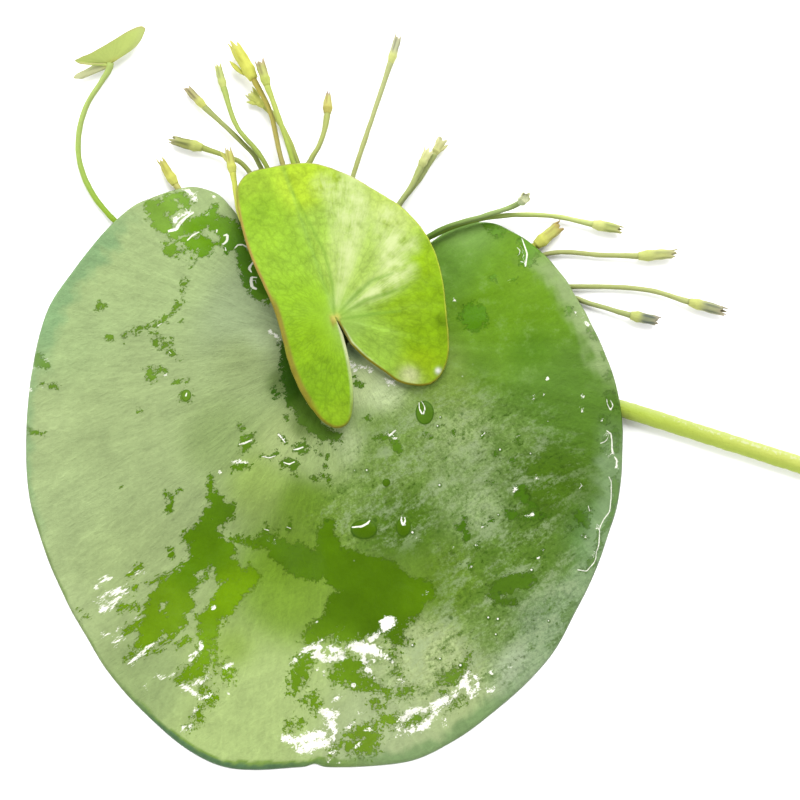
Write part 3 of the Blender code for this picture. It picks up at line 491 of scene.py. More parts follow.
# Bright spots where the film shines
GLINT_STROKES = {
    "notch": (
        ((0.8, -3.2, 0.4), (2.1, -4.4, 0.5), (3.6, -4.2, 0.4), (5.4, -4.9, 0.4)),
        ((7.4, -6.6, 0.4), (8.2, -6.8, 0.4), (9.6, -7.6, 0.5)), ((10.6, -6.4, 0.3),),
        ((8.8, -17.6, 0.3), (10.2, -18.4, 0.2)),
    ),
    "left lobe": (
        ((-34.3, 26.2, 0.5), (-33, 27.1, 0.4), (-31.8, 27.8, 0.3)),
        ((-32.8, 32.9, 0.2), (-31.6, 32.3, 0.3), (-30.7, 31.4, 0.5), (-30.3, 30.6, 0.4)),
        ((-29.7, 32.2, 0.2),), ((-26.9, 31.5, 0.3), (-26.4, 31.1, 0.2)), ((-38.3, 31.7, 0.2),),
        ((-40.1, 30.9, 0.1),), ((-29.3, 27.5, 0.2),), ((-27.9, 27.5, 0.2),), ((-60.1, -2, 0.2),),
        ((-62.6, -3.5, 0.3), (-62.7, -3.9, 0.2)), ((-63.2, -8.1, 0.3), (-63, -7.5, 0.2)),
        ((-60.7, -7.6, 0.1),), ((-35.8, -5.4, 0.2),), ((-13.5, 2.1, 0.3), (-14.9, 3, 0.2)),
        ((-13, 1.2, 0.2),), ((-12.7, -17.7, 0.3), (-12, -18.4, 0.2)),
    ),
    "streaks": (
        ((-47.4, -45.8, 0.3), (-46.3, -45.5, 0.2), (-48.5, -46.5, 0.3)), ((-49, -47.4, 0.2),),
        ((-47, -48.9, 0.3), (-44.7, -48.1, 0.6), (-43.3, -48.2, 0.5)),
        ((-49.1, -50.2, 0.3), (-47.4, -49.2, 0.3)), ((-46.3, -50.6, 0.6), (-44.5, -49.6, 0.5)),
        ((-48, -51.9, 0.5), (-46.2, -51.2, 0.6)), ((-41.6, -44.8, 0.3), (-40.7, -44.5, 0.2)),
        ((-39.9, -44.5, 0.2),), ((-47.6, -56.8, 0.3), (-46.3, -56.7, 0.2)),
        ((-45.2, -58.4, 0.3), (-44.1, -57.4, 0.4)), ((-44.6, -55.7, 0.2),), ((-40.5, -53.6, 0.2),),
        ((-42.1, -62.6, 0.2), (-40.7, -61.1, 0.3), (-39, -59.7, 0.3), (-36.7, -57.9, 0.2)),
        ((-28.2, -58.5, 0.3), (-28.5, -60, 0.4), (-29.8, -61, 0.3), (-30.3, -62.1, 0.2)),
        ((-29.4, -66.6, 0.4), (-27.7, -66, 0.3), (-26.7, -64.8, 0.2)),
        ((-31.5, -67.1, 0.6), (-30, -67.8, 0.4), (-28.7, -68.8, 0.5)),
        ((-27.7, -69.3, 0.3), (-26.4, -68.8, 0.2)), ((-23.4, -63.4, 0.3), (-22.4, -62.4, 0.2)),
        ((-22.6, -68.5, 0.2),), ((-39, -67.5, 0.2),), ((-36.6, -64.8, 0.3), (-35.2, -65.4, 0.1)),
        ((-33.9, -64.8, 0.2),), ((-29.1, -71.2, 0.2), (-29.7, -72.5, 0.3)),
        ((-31.4, -75.2, 0.5), (-30, -74.7, 0.4)), ((-25.8, -51.5, 0.4),), ((-15, -38, 0.2),),
        ((-14.2, -38.5, 0.3),), ((-5.4, -54.5, 0.2),),
        ((-22.2, -23, 0.2), (-20.5, -22.9, 0.3), (-19.3, -22.9, 0.2)), ((-24.6, -24.9, 0.2),),
        ((-26, -25.6, 0.1),),
    ),
    "cream": (
        ((-8.5, -60.2, 0.4), (-6.4, -59.5, 0.7), (-4.9, -59.2, 0.8), (-5.7, -60.8, 0.7),
         (-4.4, -61.2, 0.8)), ((-3.7, -61.8, 0.5), (-2, -61.5, 0.7), (-0.2, -61.2, 0.5)),
        ((-2.7, -59.5, 0.6), (-1.4, -59.8, 0.5), (-0.2, -60.2, 0.3)),
        ((-10.1, -62.2, 0.3), (-9.1, -61.5, 0.2)), ((-4.4, -57.8, 0.2),), ((-1.1, -57.8, 0.3),),
        ((-5.2, -63.5, 0.2),), ((-4.1, -64.2, 0.2),),
        ((0.7, -59.5, 0.3), (2, -59.2, 0.9), (3.7, -59.2, 1.2), (5.4, -59.8, 1), (7.1, -60.5, 0.8),
         (7.9, -61.5, 0.3)), ((5.4, -57.7, 0.7), (6.2, -57.1, 0.5), (6.6, -57, 0.3)), ((4.7, -57, 0.3),),
        ((3.7, -60.7, 0.7), (4.3, -62.5, 0.5), (5, -64.2, 0.4), (5.6, -65.1, 0.2)),
        ((7.9, -60.2, 0.3), (8.9, -61.2, 0.2)), ((9.5, -62, 0.4),),
        ((11.4, -65.9, 0.4), (10.7, -65.7, 0.2)), ((-2, -69.6, 0.2), (-1, -68.9, 0.2)),
        ((3.3, -72.2, 0.3),), ((-4.4, -71.9, 0.7), (-2.7, -72.6, 1), (-1.3, -72.2, 0.6)),
        ((-2.7, -73.9, 0.8), (-2, -75.6, 0.6), (-2, -77.3, 0.3)),
        ((-11.8, -76.9, 0.7), (-9.4, -77.6, 0.7), (-7.1, -76.9, 1), (-4.7, -76.2, 1)),
        ((-7.7, -78.6, 0.9), (-5, -78, 1), (-3.2, -77.9, 0.7)),
        ((-10.4, -77.6, 0.5), (-8.4, -79.3, 0.6), (-6.4, -79.3, 0.5)),
        ((0.4, -75.2, 0.3), (1.8, -74.2, 0.3)), ((4.4, -75.6, 0.3), (5.5, -75.2, 0.2)),
        ((2.1, -78.9, 0.2), (3.1, -78.3, 0.2)), ((-2.7, -79.9, 0.3), (-1.9, -79.5, 0.3)),
        ((-1, -81.6, 0.2),), ((-3, -81.4, 0.2),),
        ((11.2, -73.6, 0.5), (12.5, -72.3, 0.7), (14.2, -71.3, 0.6), (16, -71.6, 0.5)),
        ((10.8, -74.6, 0.4), (10.7, -76.7, 0.3)),
        ((12.5, -75.6, 0.5), (14.6, -75.2, 0.7), (15.9, -74.6, 0.7), (17, -73.6, 0.5)),
        ((17.6, -70.9, 0.7), (18.7, -70.2, 0.9), (20, -69.6, 0.8), (20.6, -70.3, 0.3)),
        ((17.6, -72.2, 0.5), (18.6, -71.6, 0.6)), ((20, -74.2, 0.3), (19.6, -73.6, 0.3)),
        ((22, -68.2, 0.5), (21.3, -68.9, 0.3)),
        ((23, -66.9, 0.6), (23.9, -65.5, 0.7), (24.4, -64.2, 0.4), (24.8, -63.1, 0.2)),
        ((24, -66.9, 0.7), (25.1, -68.5, 0.6), (26.1, -67.3, 0.5), (26.5, -65.9, 0.3)),
        ((25.1, -65.5, 0.3), (26.1, -65.2, 0.3)), ((28.8, -67.9, 0.4), (28, -67.5, 0.2)),
        ((29.5, -67.7, 0.2),), ((32.9, -63.2, 0.2),), ((29, -64.2, 0.2),),
    ),
    "specks": (
        ((36.4, -33.5, 0.2),), ((16.3, -48.9, 0.2),), ((18, -52.5, 0.2),), ((14.4, -37.8, 0.2),),
        ((-14.1, -38.4, 0.2),), ((8.2, -54.9, 1.4), (8.8, -54.5, 1.4)),
    ),
    "right": (
        ((33.8, -28.1, 0.6),), ((37.5, -33.1, 0.3),), ((29.1, -34.3, 0.2),), ((27.3, -35.4, 0.2),),
        ((26, -39.3, 0.2),), ((25.1, -43.3, 0.2),), ((21.4, -40.1, 0.2),), ((39.3, -40.1, 0.2),),
        ((38.4, -41.7, 0.2),), ((47.9, -37.4, 0.2),), ((29, -48.9, 0.2),), ((47.2, -9.9, 0.2),),
        ((39.3, -9.7, 0.2),), ((37.4, -10.2, 0.2),), ((47.2, -12.5, 0.2),), ((34.4, -17.8, 0.2),),
        ((38.2, -25.8, 0.2),), ((51.1, -14.5, 0.3),), ((53.1, -21, 0.2), (52, -21.3, 0.1)),
        ((54.1, -22.3, 0.2), (54, -23.9, 0.2)),
    ),
    "right lobe": (
        ((32.8, 13.5, 0.2),), ((21.9, 9.7, 0.2),), ((40.3, -6.2, 0.2),), ((46.3, 7.5, 0.3),),
        ((47.6, 6.6, 0.2),), ((48.2, 5.5, 0.3), (48.7, 5, 0.2)), ((47.9, 7.3, 0.2),),
    ),
}
# Thin bright lines on drops and along the film's edges
GLINT_LINES = {
    "left lobe": (
        ((-35.7, 23.9, 0.28), (-34.1, 24.3, 0.34), (-33.4, 25.5, 0.34), (-32.3, 26.6, 0.28),
         (-30.6, 27.9, 0.21)), ((-31.8, 28, 0.17), (-32.3, 28.7, 0.1)),
        ((-31.8, 21.9, 0.17), (-30.8, 23, 0.21), (-29.4, 23.7, 0.17)),
        ((-25.8, 24.2, 0.21), (-25.9, 23.5, 0.17)),
        ((-24.5, 22.9, 0.17), (-23.7, 23.1, 0.28), (-23.7, 22, 0.28), (-24.3, 21.1, 0.24),
         (-24.8, 21.1, 0.17)), ((-24.1, 20.4, 0.14), (-23.9, 19.7, 0.14)),
        ((-22.2, 20.2, 0.17), (-21.6, 20.9, 0.21), (-20.5, 21, 0.21), (-19.7, 20.4, 0.14)),
        ((-18.4, 17.3, 0.21), (-19, 16.4, 0.28), (-19.2, 15.9, 0.28), (-18.7, 15.2, 0.17)),
        ((-18.7, 14.2, 0.28), (-18.8, 13.2, 0.31), (-18.5, 12.1, 0.31), (-17.6, 11.7, 0.24)),
        ((-18.5, 14.2, 0.17), (-17.6, 14.1, 0.14)), ((-35.1, -0.7, 0.14), (-34.7, -1.1, 0.14)),
        ((-37.5, 4.6, 0.14), (-36.7, 5.1, 0.1)), ((-31.6, -9.8, 0.21), (-31.4, -9.1, 0.17)),
    ),
    "drops by the left lobe": (
        ((-20.9, -19.5, 0.16), (-19.6, -19.2, 0.24), (-18.3, -18.6, 0.18)),
        ((-16.3, -21.9, 0.14), (-14.8, -22.2, 0.18), (-13.6, -21.8, 0.14)),
        ((-13.1, -17.5, 0.24), (-12.3, -18.4, 0.18), (-11.7, -19.2, 0.14)),
        ((-10.1, -20.6, 0.14), (-9.2, -20.5, 0.22), (-8.1, -20.1, 0.18)),
        ((-12, -23.1, 0.14), (-10.9, -23.5, 0.2), (-9.8, -23, 0.14)),
        ((8.8, -17.9, 0.18), (9.6, -17.2, 0.24), (10.2, -16.7, 0.18)),
        ((-15.9, -36, 0.12), (-15, -36.3, 0.14)), ((-11.4, -35.7, 0.12), (-10.6, -36, 0.14)),
    ),
    "drops": (
        ((1.5, -35.9, 0.17), (3.4, -35.8, 0.24), (4.7, -35.1, 0.24), (5.1, -34.5, 0.17)),
        ((11.3, -33.8, 0.14), (11.2, -34.7, 0.21), (11.6, -35.5, 0.24), (12.1, -34.7, 0.17),
         (11.9, -33.9, 0.14)), ((5.4, -61.7, 0.17), (6.1, -61.8, 0.21), (5.8, -62.4, 0.17)),
        ((7.9, -54.9, 0.75), (9.3, -54.5, 0.85)), ((8.5, -55.7, 0.6), (8.8, -53.7, 0.6)),
        ((1.4, -66.7, 0.15), (1.9, -66.2, 0.15), (2.4, -66.7, 0.15), (1.9, -67.2, 0.15),
         (1.4, -66.7, 0.15)),
    ),
    "right": (
        ((14.8, -11.2, 0.12), (14.8, -12.5, 0.18), (15.4, -13.5, 0.21), (16.1, -12.8, 0.15),
         (15.7, -11.6, 0.12), (15.2, -10.9, 0.09)),
        ((52.1, -10.3, 0.09), (52.2, -11.4, 0.12), (52.8, -12.5, 0.18), (53.4, -11.6, 0.12),
         (52.8, -10.5, 0.09)),
        ((52, -16.6, 0.12), (52.9, -17.2, 0.18), (53.1, -18.7, 0.18), (53.1, -20.2, 0.21),
         (53.3, -21.1, 0.24)), ((53.6, -21.7, 0.15), (54.1, -22.3, 0.21), (54, -23.9, 0.21)),
        ((50.8, -19.1, 0.12), (51.9, -18.7, 0.12), (52.3, -17.9, 0.12)),
        ((52.5, -25.6, 0.12), (53, -26.5, 0.15), (53, -29.5, 0.15), (52.7, -32.5, 0.15),
         (51.5, -34, 0.15), (50.8, -35.4, 0.12)),
        ((49.9, -35.8, 0.12), (50.7, -35.7, 0.15), (50.5, -39.2, 0.15), (49.9, -40.7, 0.15),
         (49.4, -40.2, 0.09)),
        ((50, -41.4, 0.12), (49.6, -42.5, 0.15), (48, -44.3, 0.15), (46.2, -44, 0.15)),
        ((48.7, -32.4, 0.15), (48.4, -31.3, 0.09)),
        ((46.6, -28, 0.09), (47.2, -27.4, 0.12), (46.9, -26.9, 0.09)),
        ((27.1, -17.7, 0.12), (28, -17.1, 0.12), (27.9, -16.8, 0.09)),
    ),
    "right lobe": (
        ((35.6, 22.7, 0.15), (36, 21.4, 0.18), (36.6, 19.4, 0.21), (36.2, 16.7, 0.18)),
        ((34.6, 20.7, 0.12), (35.2, 20.1, 0.12), (35, 19.3, 0.12), (34.6, 18.9, 0.09)),
        ((35.2, 17.8, 0.12), (35.8, 17.6, 0.12)),
    ),
}

# Fan grids, rims and the big leaf's relief
RIM_POINTS = 2400
FAN_MIDDLE = 0.45
BIG_REACH = 60
# Hills and rags, as ripples: seed, size in mm and weight
BIG_HILLS = ((11, 5.5, 0.5), (12, 2.2, 0.25))
RIM_RAGS = ((6, 4, 1), (7, 1.6, 0.5))
BIG_RIM_SEED = 5
BIG_RIM_WAVE = 7
BIG_RIM_RIPPLE = 0.22
BIG_EDGE_ROUND = 0.7
# Where the ridges start and end, as shares of the way to the rim, and over how many mm from the
# outline the relief grows
RIDGE_START = (0.06, 0.3)
RIDGE_END = (1, 0.9)
BIG_RELIEF_START = (0, 2)
# A dent in the rim: its direction, depth in mm and spread in degrees
BIG_DENT = (-94, 0.6, 0.9)
# Bands along the rim: middle direction, spread in degrees, width, softness in mm, colour. The thin
# olive and green lines are the rim's own colour, the dark teal band is painted shade under the
# rolled edge, and the other pale blue-green bands are painted sheen and reflection where the rim
# curves away
RIM_BANDS_SHADE_AND_SHEEN = (
    (166, 16, 3.6, 1.8, (140, 182, 126)),
    (196, 14, 1.2, 0.9, (152, 186, 130)),
    (9, 16, 3.1, 2.0, (176, 198, 138)),
    (-34, 16, 4.2, 2.2, (148, 178, 126)),
    (-55, 8, 3.6, 2.0, (152, 178, 130)),
    (-134, 22, 0.45, 0.25, (126, 154, 82)),
    (-103, 17, 1.4, 0.2, (118, 156, 54)),
    (-107, 13, 0.9, 0.25, (84, 122, 92)),
    (-75, 12, 2.4, 1.2, (124, 160, 100)),
)
RIM_BAND_STRENGTH = 0.8
RIM_BAND_RAGS = 0.6
# Over how many degrees to both sides of its spread a band fades out
RIM_BAND_FADE = 6
# Colours of the mottled skin's pale and dark patches, and where it is, as ellipses: middle,
# half width and half length
MOTTLE_PALE = (176, 196, 148)
MOTTLE_DEEP = (90, 130, 34)
MOTTLED = ((24, -24, 32, 22), (34, -50, 22, 22), (4, -34, 14, 10), (18, -62, 16, 12))
MOTTLE_EDGE = (1, 0.4)
# The smoother part of the right lobe: middle and radius, and the haze on it
CALM = (30, 9, 24)
CALM_EDGE = (1, 0.6)
HAZE = (150, 184, 104)
# A thin line is known this far to its sides, in mm, and a stroke's depth up to the limit
LINE_REACH = 0.9
FIELD_LIMIT = 3
# What the meshes carry as three numbers that are not a colour
VECTOR_FIELDS = ("thin",)
RIPPLE_WAVES = 24

# Patterns of the big leaf's skin. Those that follow the rays say how many clouds fit in each
# unit across and along them, then their detail and roughness. The others say how many fit in a
# millimetre, and brushed ones their length and width in mm, PATCHES after its direction
WRINKLES = (22, 0.1, 4, 0.6)
FINE_WRINKLES = (70, 0.4, 4, 0.65)
CREASES = (8, 0.05, 3)
CLOUD = (0.16, 3)
SOFT_CLOUD = (0.28, 6, 0.72)
GRAIN = (1.5, 5, 0.75)
STREAKS = (2.2, 0.5, 5, 0.7)
PATCHES = (35, 9, 4.5, 7, 0.76)
FRAY = (0.5, 6, 0.85)
FINE_FRAY = (1.0, 6, 0.85)
STREAKED_FLECKS = (1.8, 0.4, 5, 0.8)
FLECKS = (0.9, 6, 0.85)
# How many beads fit in a millimetre, their radius as a share of their cell,
# and their bright spots' radius and shift in mm
BEADS = 0.42
BEAD_RADIUS = 0.19
SPARK_RADIUS = 0.08
SPARK_SHIFT = (0.09, -0.12, 0)
# How deep the bumps are, in metres, as on all pieces
BIG_BUMP = 0.0003

# Small rings of water, as (x, y, radius), and how thick their walls are
RINGS = (
    (-31, 17.5, 0.55), (-32.2, 13.6, 0.55), (-49.3, 8.7, 0.52), (-20.4, -15.9, 0.48),
    (-33.6, 22.7, 0.48), (-29.1, 22.1, 0.48), (-30.7, 20.9, 0.59), (-31.5, -9.6, 0.93),
)
RING_WALL = 0.17
# Drops, as (x, y, half width, half length)
DROPS = (
    (15.9, -13.2, 1.9, 2.45), (3.9, -36.3, 2.76, 2), (11.7, -35.8, 1.52, 2), (8.3, -27.1, 0.83, 0.83),
    (-31.5, -9.6, 1.03, 1.24),
)
DROP_STEEPNESS = 0.22
# Where the film turns into streaks, in mm across and along the frame
STREAKED = ((-46, -54), (-18, -30))
STREAK_TURN = 33
# Where the lower film is more broken, in mm along the frame
BROKEN = (-44, -52)
# How much brighter than plain paint the glints are, so that they show in the shade too
GLINT_BRIGHTNESS = 1.45

YOUNG_GROOVE = 0.16
YOUNG_GROOVE_WIDTH = 0.7
YOUNG_GROOVE_START = (-1, 2)
YOUNG_FOLDS = ((13, 0.4), (21, 2.0), (31, 5.1))
# Where the folds start and end, in mm from the vein junction, and where in mm from the midrib
YOUNG_FOLD_START = (1, 5)
YOUNG_FOLD_END = (24, 12)
YOUNG_FOLD_SIDE = (0.5, 4)
YOUNG_RELIEF_START = (0, 1.5)
YOUNG_HILLS = ((31, 4, 0.4), (32, 1.6, 0.2))
# The rim's waves: seed and size
YOUNG_RIM_WAVES = (33, 3)
YOUNG_RIM_RIPPLE = 0.14
YOUNG_EDGE_ROUND = 0.5
# Over how many degrees to both sides of its spread a margin fades out, and between which shares
# of its width
YOUNG_MARGIN_FADE = 8
YOUNG_MARGIN_EDGE = (1.35, 0.65)
YOUNG_VEIN_START = (1, 9)
# The turned margin: middle direction, spread, width and depth
YOUNG_TURNED = (215, 62, 1.0, 0.35)
YOUNG_RIB = (150, 196, 84)
YOUNG_RIB_WIDTH = 0.45
YOUNG_RIB_STRENGTH = 0.4
YOUNG_RIB_START = (0, 2)
YOUNG_SPOT = (226, 220, 110)
YOUNG_SPOT_WIDTH = 0.9
# The pale sheen, as strokes
YOUNG_SHEEN = {
    "long": (
        ((-1.4, 8.4, 0.4), (-0.4, 14, 1.4), (0.6, 21, 2.6), (1.2, 27, 4), (-0.4, 31.4, 3.6), (-4, 32.4, 2)),
    ),
    "wide": (((1.4, 8, 0.6), (6.6, 10.8, 2), (9.6, 13.6, 2.4), (9.6, 19, 2.8), (8.6, 25, 2.6)),),
    "right": (((9, 12, 1.4), (12.6, 14.4, 1.2)), ((9, 18, 2), (13, 20, 1.4))),
}
# Depths in mm over which the sheen and the lines start
YOUNG_SHEEN_EDGE = (-2.2, 2.2)
YOUNG_CREASE_EDGE = (-0.25, 0.35)
# Thin darker lines, as chains of (x, y, half width): one down the midrib, and painted shade in the
# creases between the folds
YOUNG_CREASES = {
    "midrib": (((-2, 6, 0.3), (-2.4, 12, 0.3), (-4, 18.6, 0.3), (-8, 26.4, 0.25), (-10.6, 31.4, 0.15)),),
    "folds": (
        ((-1, 6.4, 0.2), (2, 9.6, 0.45), (5.4, 12.6, 0.4), (9.6, 14, 0.2)),
        ((-0.6, 5.8, 0.2), (4, 8.6, 0.4), (8.6, 10, 0.35), (12.4, 11.4, 0.15)),
        ((-0.8, 5, 0.2), (5, 5.8, 0.4), (11, 6.4, 0.2)),
    ),
}
YOUNG_CREASE_COLOUR = (128, 176, 60)
YOUNG_TINTS = {
    "tip": (-19, 31.8, 4, (176, 214, 52)),
    "left": (-17.6, 27.7, 5, (150, 196, 36)),
    "top": (-10, 32.8, 4, (198, 232, 56)),
    "left middle": (-14.6, 20.7, 5, (163, 209, 48)),
    "beside the rib": (-11, 18.6, 4, (163, 210, 54)),
    "left of the junction": (-9, 8.5, 4, (158, 207, 40)),
    "left lobe's top": (-7.4, 0.5, 4, (149, 196, 24)),
    "left lobe": (-4, -8.6, 5, (140, 187, 28)),
    "left lobe's end": (-1.4, -13.7, 3, (150, 192, 34)),
    "right of the rib": (-5.4, 23.7, 3, (178, 218, 84)),
    "right half": (3, 20, 6, (190, 222, 104)),
    "top right": (10, 27.7, 4, (205, 230, 110)),
    "right edge": (16, 16.6, 4, (160, 202, 20)),
    "right": (18, 10.6, 4, (146, 190, 16)),
    "right middle": (12, 6.5, 4, (155, 197, 35)),
    "dark spot": (19.2, 4.5, 1.6, (113, 151, 7)),
    "right lobe": (15, 1.5, 4, (146, 190, 20)),
    "right lobe's inner side": (7, 0.5, 4, (164, 205, 74)),
    "right lobe's end": (15, -3, 3, (162, 198, 22)),
    "pale patch": (13.2, -5.6, 1.5, (222, 230, 164)),
    "glint": (18.5, -5.1, 0.4, (254, 254, 246)),
    "right of the junction": (1.4, 4.5, 3, (168, 208, 90)),
}
# Coloured margins: middle direction from the vein junction, spread, width, colour
YOUNG_MARGINS = (
    (100, 26, 0.3, (184, 168, 96)),
    (150, 22, 0.6, (178, 154, 74)),
    (190, 26, 1.1, (152, 140, 50)),
    (236, 22, 1.2, (148, 140, 46)),
    (262, 10, 0.6, (138, 132, 34)),
    # A painted highlight: the pale band inside the margin along the notch side of the left lobe
    (296, 12, 0.65, (228, 234, 184)),
    (272, 6, 0.35, (146, 140, 50)),
    (330, 34, 0.4, (142, 134, 30)),
    (20, 50, 0.3, (196, 210, 70)),
)

# The young leaf's patterns, in the same way. The net of veins has long meshes along the rays, is
# bent by clouds and comes in two sizes
YOUNG_BENDS = 0.5
YOUNG_BEND_SIZE = (0.9, 0.9, 0)
YOUNG_MESHES = (11, 0.5, 1)
YOUNG_NETS = (1.0, 3.1)
YOUNG_WRINKLES = (60, 0.5, 3, 0.6)
YOUNG_CLOUD = (0.3, 3)
YOUNG_GRAIN = (2.4, 3, 0.6)
YOUNG_SHEEN_STREAKS = (9, 0.03, 3)
YOUNG_BUMP = 0.00006

# Folded leaf: patterns, how far in its outline is rounded off, and colours
FOLDED_FIBRES = (2.6, 1.2, 2, 0.5)
FOLDED_GRAIN = (2.2, 3, 0.6)
FOLDED_BUMP = 0.0001
FOLDED_EDGE_SHARE = 0.05
# Where its colours turn, as shares of the way round its rim or of the way from its notch to the
# rim, and the spine's width and strength
FOLDED_LOWER_START = (0.5, 0.9)
FOLDED_NOTCH_END = (0.35, 0.0)
FOLDED_SPINE = (0.05, 0.6)
FOLDED_SPINE_START = (0.2, 0.6)
FOLDED_RIM_START = (0.93, 1.0)
FOLDED_VEINS = 22
FOLDED_RELIEF = 0.03
# Colours of the upper half, the lower half, the notch, the spine and the rim
FOLDED_COLOURS = ((214, 232, 128), (226, 230, 174), (226, 228, 120), (208, 214, 152), (210, 208, 138))

STEM_RINGS = 300
STEM_SIDES = 56
STEM_INSET = 0.05
STEM_BUMPS = 0.05
STEM_WIDENING = 0.1
STEM_LUMPS = ((41, 1.5, 0.5), (42, 0.7, 0.3))
# Colours by the crown, by the cut, of the painted shade on the lower side and of the painted light
# on the upper side, where the first turns into the second in mm, and where the painted shade and
# the painted light start, as a cosine, with their strengths
STEM_COLOURS = ((186, 213, 72), (218, 228, 112), (194, 216, 88), (214, 226, 146))
STEM_TURN = (40, 95)
STEM_SHADED_SIDE = (-0.1, 0.95, 0.85)
STEM_LIT_SIDE = (0.2, 0.95, 0.6)
# The turn round the stem, in radians, where the glints are, and how far they spread
STEM_GLINT = (2.1, 0.45)
# How strong they are by the crown and by how much more beyond, and where that turns, in mm
STEM_GLINT_STRENGTH = (0.4, 0.6)
STEM_GLINT_TURN = (40, 85)
STEM_FIBRES = (5, 0.35, 3, 0.6)
STEM_SPOTS = (2.2, 1.6, 3, 0.55)
STEM_GRAIN = (2.6, 3, 0.6)
STEM_BUMP = 0.00018

CROWN_ROWS = 40
CROWN_COLUMNS = 96
CROWN_SQUARENESS = 4
CROWN_LUMPS = 0.05
CROWN_LUMP_SIZE = 0.9
CROWN_RAY_STEP = 0.2
CROWN_SEED = 51
CROWN_COLOUR = (150, 170, 84)

STALK_RINGS = 90
STALK_SIDES = 16
# How much thinner a stalk may be, and how long its thick and thin parts are, in mm
STALK_WAVER = 0.16
STALK_WAVE = 2.5
STALK_SWELL_LENGTH = 5
FLOWER_STALK_SWELL = 0.25
FOLDED_STALK_SWELL = 0.3
STALK_SEED = 61
STALK_TURN = (0.45, 0.95)
STALK_SHADE = 0.2
STALK_SHADE_START = (0.1, 1)
STALK_ROOT = 0.9
YOUNG_STALK_COLOURS = ((160, 180, 90), (180, 200, 90))
FOLDED_STALK_COLOURS = ((148, 190, 4), (200, 222, 128))
BUD_SINK = 0.35
# The skins of stalks and buds: fibres, strength, roughness and bump
STALK_SKIN = ((2.4, 0.28, 3, 0.6), 0.3, 0.45, 0.0001)
BUD_SKIN = ((3.5, 0.5, 3, 0.6), 0.35, 0.5, 0.00012)
SOFT_GRAIN = (1.4, 4, 0.65)

# Sepals that have come loose, by flower: base, tip and width
LOOSE_SEPALS = {
    5: (((-20.8, 56.6, 2.4), (-23.9, 59.9, 1.9), 1.0), ((-19.4, 57.4, 2.4), (-20.9, 61.4, 2.0), 0.9)),
    7: (((-17.2, 51, 1.1), (-20.4, 51.4, 1.3), 0.9), ((-17.4, 51.4, 1.1), (-19.2, 54.6, 1.4), 0.9)),
    8: (((-23, 37.2, 4.3), (-25.4, 40.4, 4.0), 0.8),),
    12: (((18.2, 40.6, 1.2), (20.9, 42.4, 1.5), 0.8),),
}
SEPAL_RINGS = 24
SEPAL_SIDES = 16
SEPAL_FLATNESS = 0.35

# The bud's outline as (height, radius) where it is shut, and what an open bud adds
BUD_OUTLINE = ((0, 0.6), (0.13, 0.76), (0.25, 0.95), (0.36, 0.86), (0.6, 0.62), (0.82, 0.4), (1, 0))
BUD_OPEN = (0, 0, 0, 0, 0.24, 0.42, 0.9)
BUD_COLUMNS = 60
BUD_ROWS = 26
BUD_INNER_ROWS = 10
BUD_RIBS = 0.07
BUD_NOTCH = 0.8
BUD_FLOOR = 0.76
BUD_POINT = 0.8
BUD_WALL = 0.16
BUD_CRUMPLE = 0.05
BUD_CRUMPLE_SIZE = 1.1
BUD_CRUMPLE_STRETCH = 4
BUD_NARROWING = 0.25
# How much darker the inside of a bud is painted, as painted shade
BUD_SHADE = 0.15
BUD_STREAK_WIDTH = 0.35
# Where shapes and colours of a bud turn, as shares of its height
BUD_RIB_START = (0.3, 0.6)
BUD_CRUMPLE_START = (0.25, 0.5)
BUD_SEPAL_START = (0.22, 0.5)
BUD_TIP_START = (0.62, 0.9)
BUD_STREAK_START = (0.3, 0.5)
BUD_STREAK_END = (0.95, 0.7)
# Over which share of the way down inside it the wall reaches its full thickness
BUD_WALL_START = (0, 0.15)
# The most that a sepal is shorter, and how far it may lean in or out
BUD_SHORTENING = 0.16
BUD_LEAN = (-0.3, 0.2)
BUD_SEED = 81

# Lights: name, place in mm from the crown and size in metres
MAIN_LIGHT = ("main light", (500, 1600, 1800), 2.0)
SIDE_LIGHT = ("side light", (-1500, -600, 900), 2.4)
# Between these heights, from -1 to 1, the sky turns from the light round the plant to the one above
SKY_CLIMB = (0.35, 0.95)
# The table's brightness, its change and how many clouds fit in a millimetre
FLOOR_SHADE = (0.93, 0.01, 0.004)

CAMERA_AIM = (11.0, -10.15, 2.0)
SENSOR = 36
FLOOR_DROP = 0.0001
FLOOR_HALF = 4.0
FLOOR_CELLS = 24


def put(points):
    """Places in millimetres from the crown, as metres in the frame."""
    return (np.asarray(points, float) + CROWN_PLACE) * MM


def distances(line):
    """How far along the line each of its places is."""
    steps = np.linalg.norm(np.diff(line, axis=0), axis=1)
    return np.concatenate([[0], np.cumsum(steps)])


def smooth_line(points, count):
    """`count` evenly spaced places on the Catmull-Rom curve that runs through all the points."""
    given = np.array(points, float)
    first = 2 * given[0] - given[1]
    last = 2 * given[-1] - given[-2]
    ends = np.vstack([first, given, last])
    along = np.linspace(0, len(given) - 1, CURVE_STEPS * len(given))
    start = np.minimum(along.astype(int), len(given) - 2)
    t = (along - start)[:, None]
    p0, p1, p2, p3 = ends[start], ends[start + 1], ends[start + 2], ends[start + 3]
    bend = 2 * p0 - 5 * p1 + 4 * p2 - p3
    twist = 3 * p1 - 3 * p2 + p3 - p0
    fine = 0.5 * (2 * p1 + (p2 - p0) * t + bend * t**2 + twist * t**3)
    travelled = distances(fine)
    wanted = np.linspace(0, travelled[-1], count)
    return np.column_stack([np.interp(wanted, travelled, fine[:, i]) for i in range(fine.shape[1])])


def polar_line(rim, count):
    """The smooth rim through (direction, distance) pairs, as x and y."""
    turns = np.radians([direction for direction, _ in rim])
    reach = np.array([distance for _, distance in rim])
    corners = np.column_stack([reach * np.cos(turns), reach * np.sin(turns)])
    return smooth_line(corners, count)


def ramp(low, high, value):
    """0 up to `low`, 1 from `high` on, and a smooth climb between them."""
    share = np.clip((value - low) / (high - low), 0, 1)
    return share * share * (3 - 2 * share)


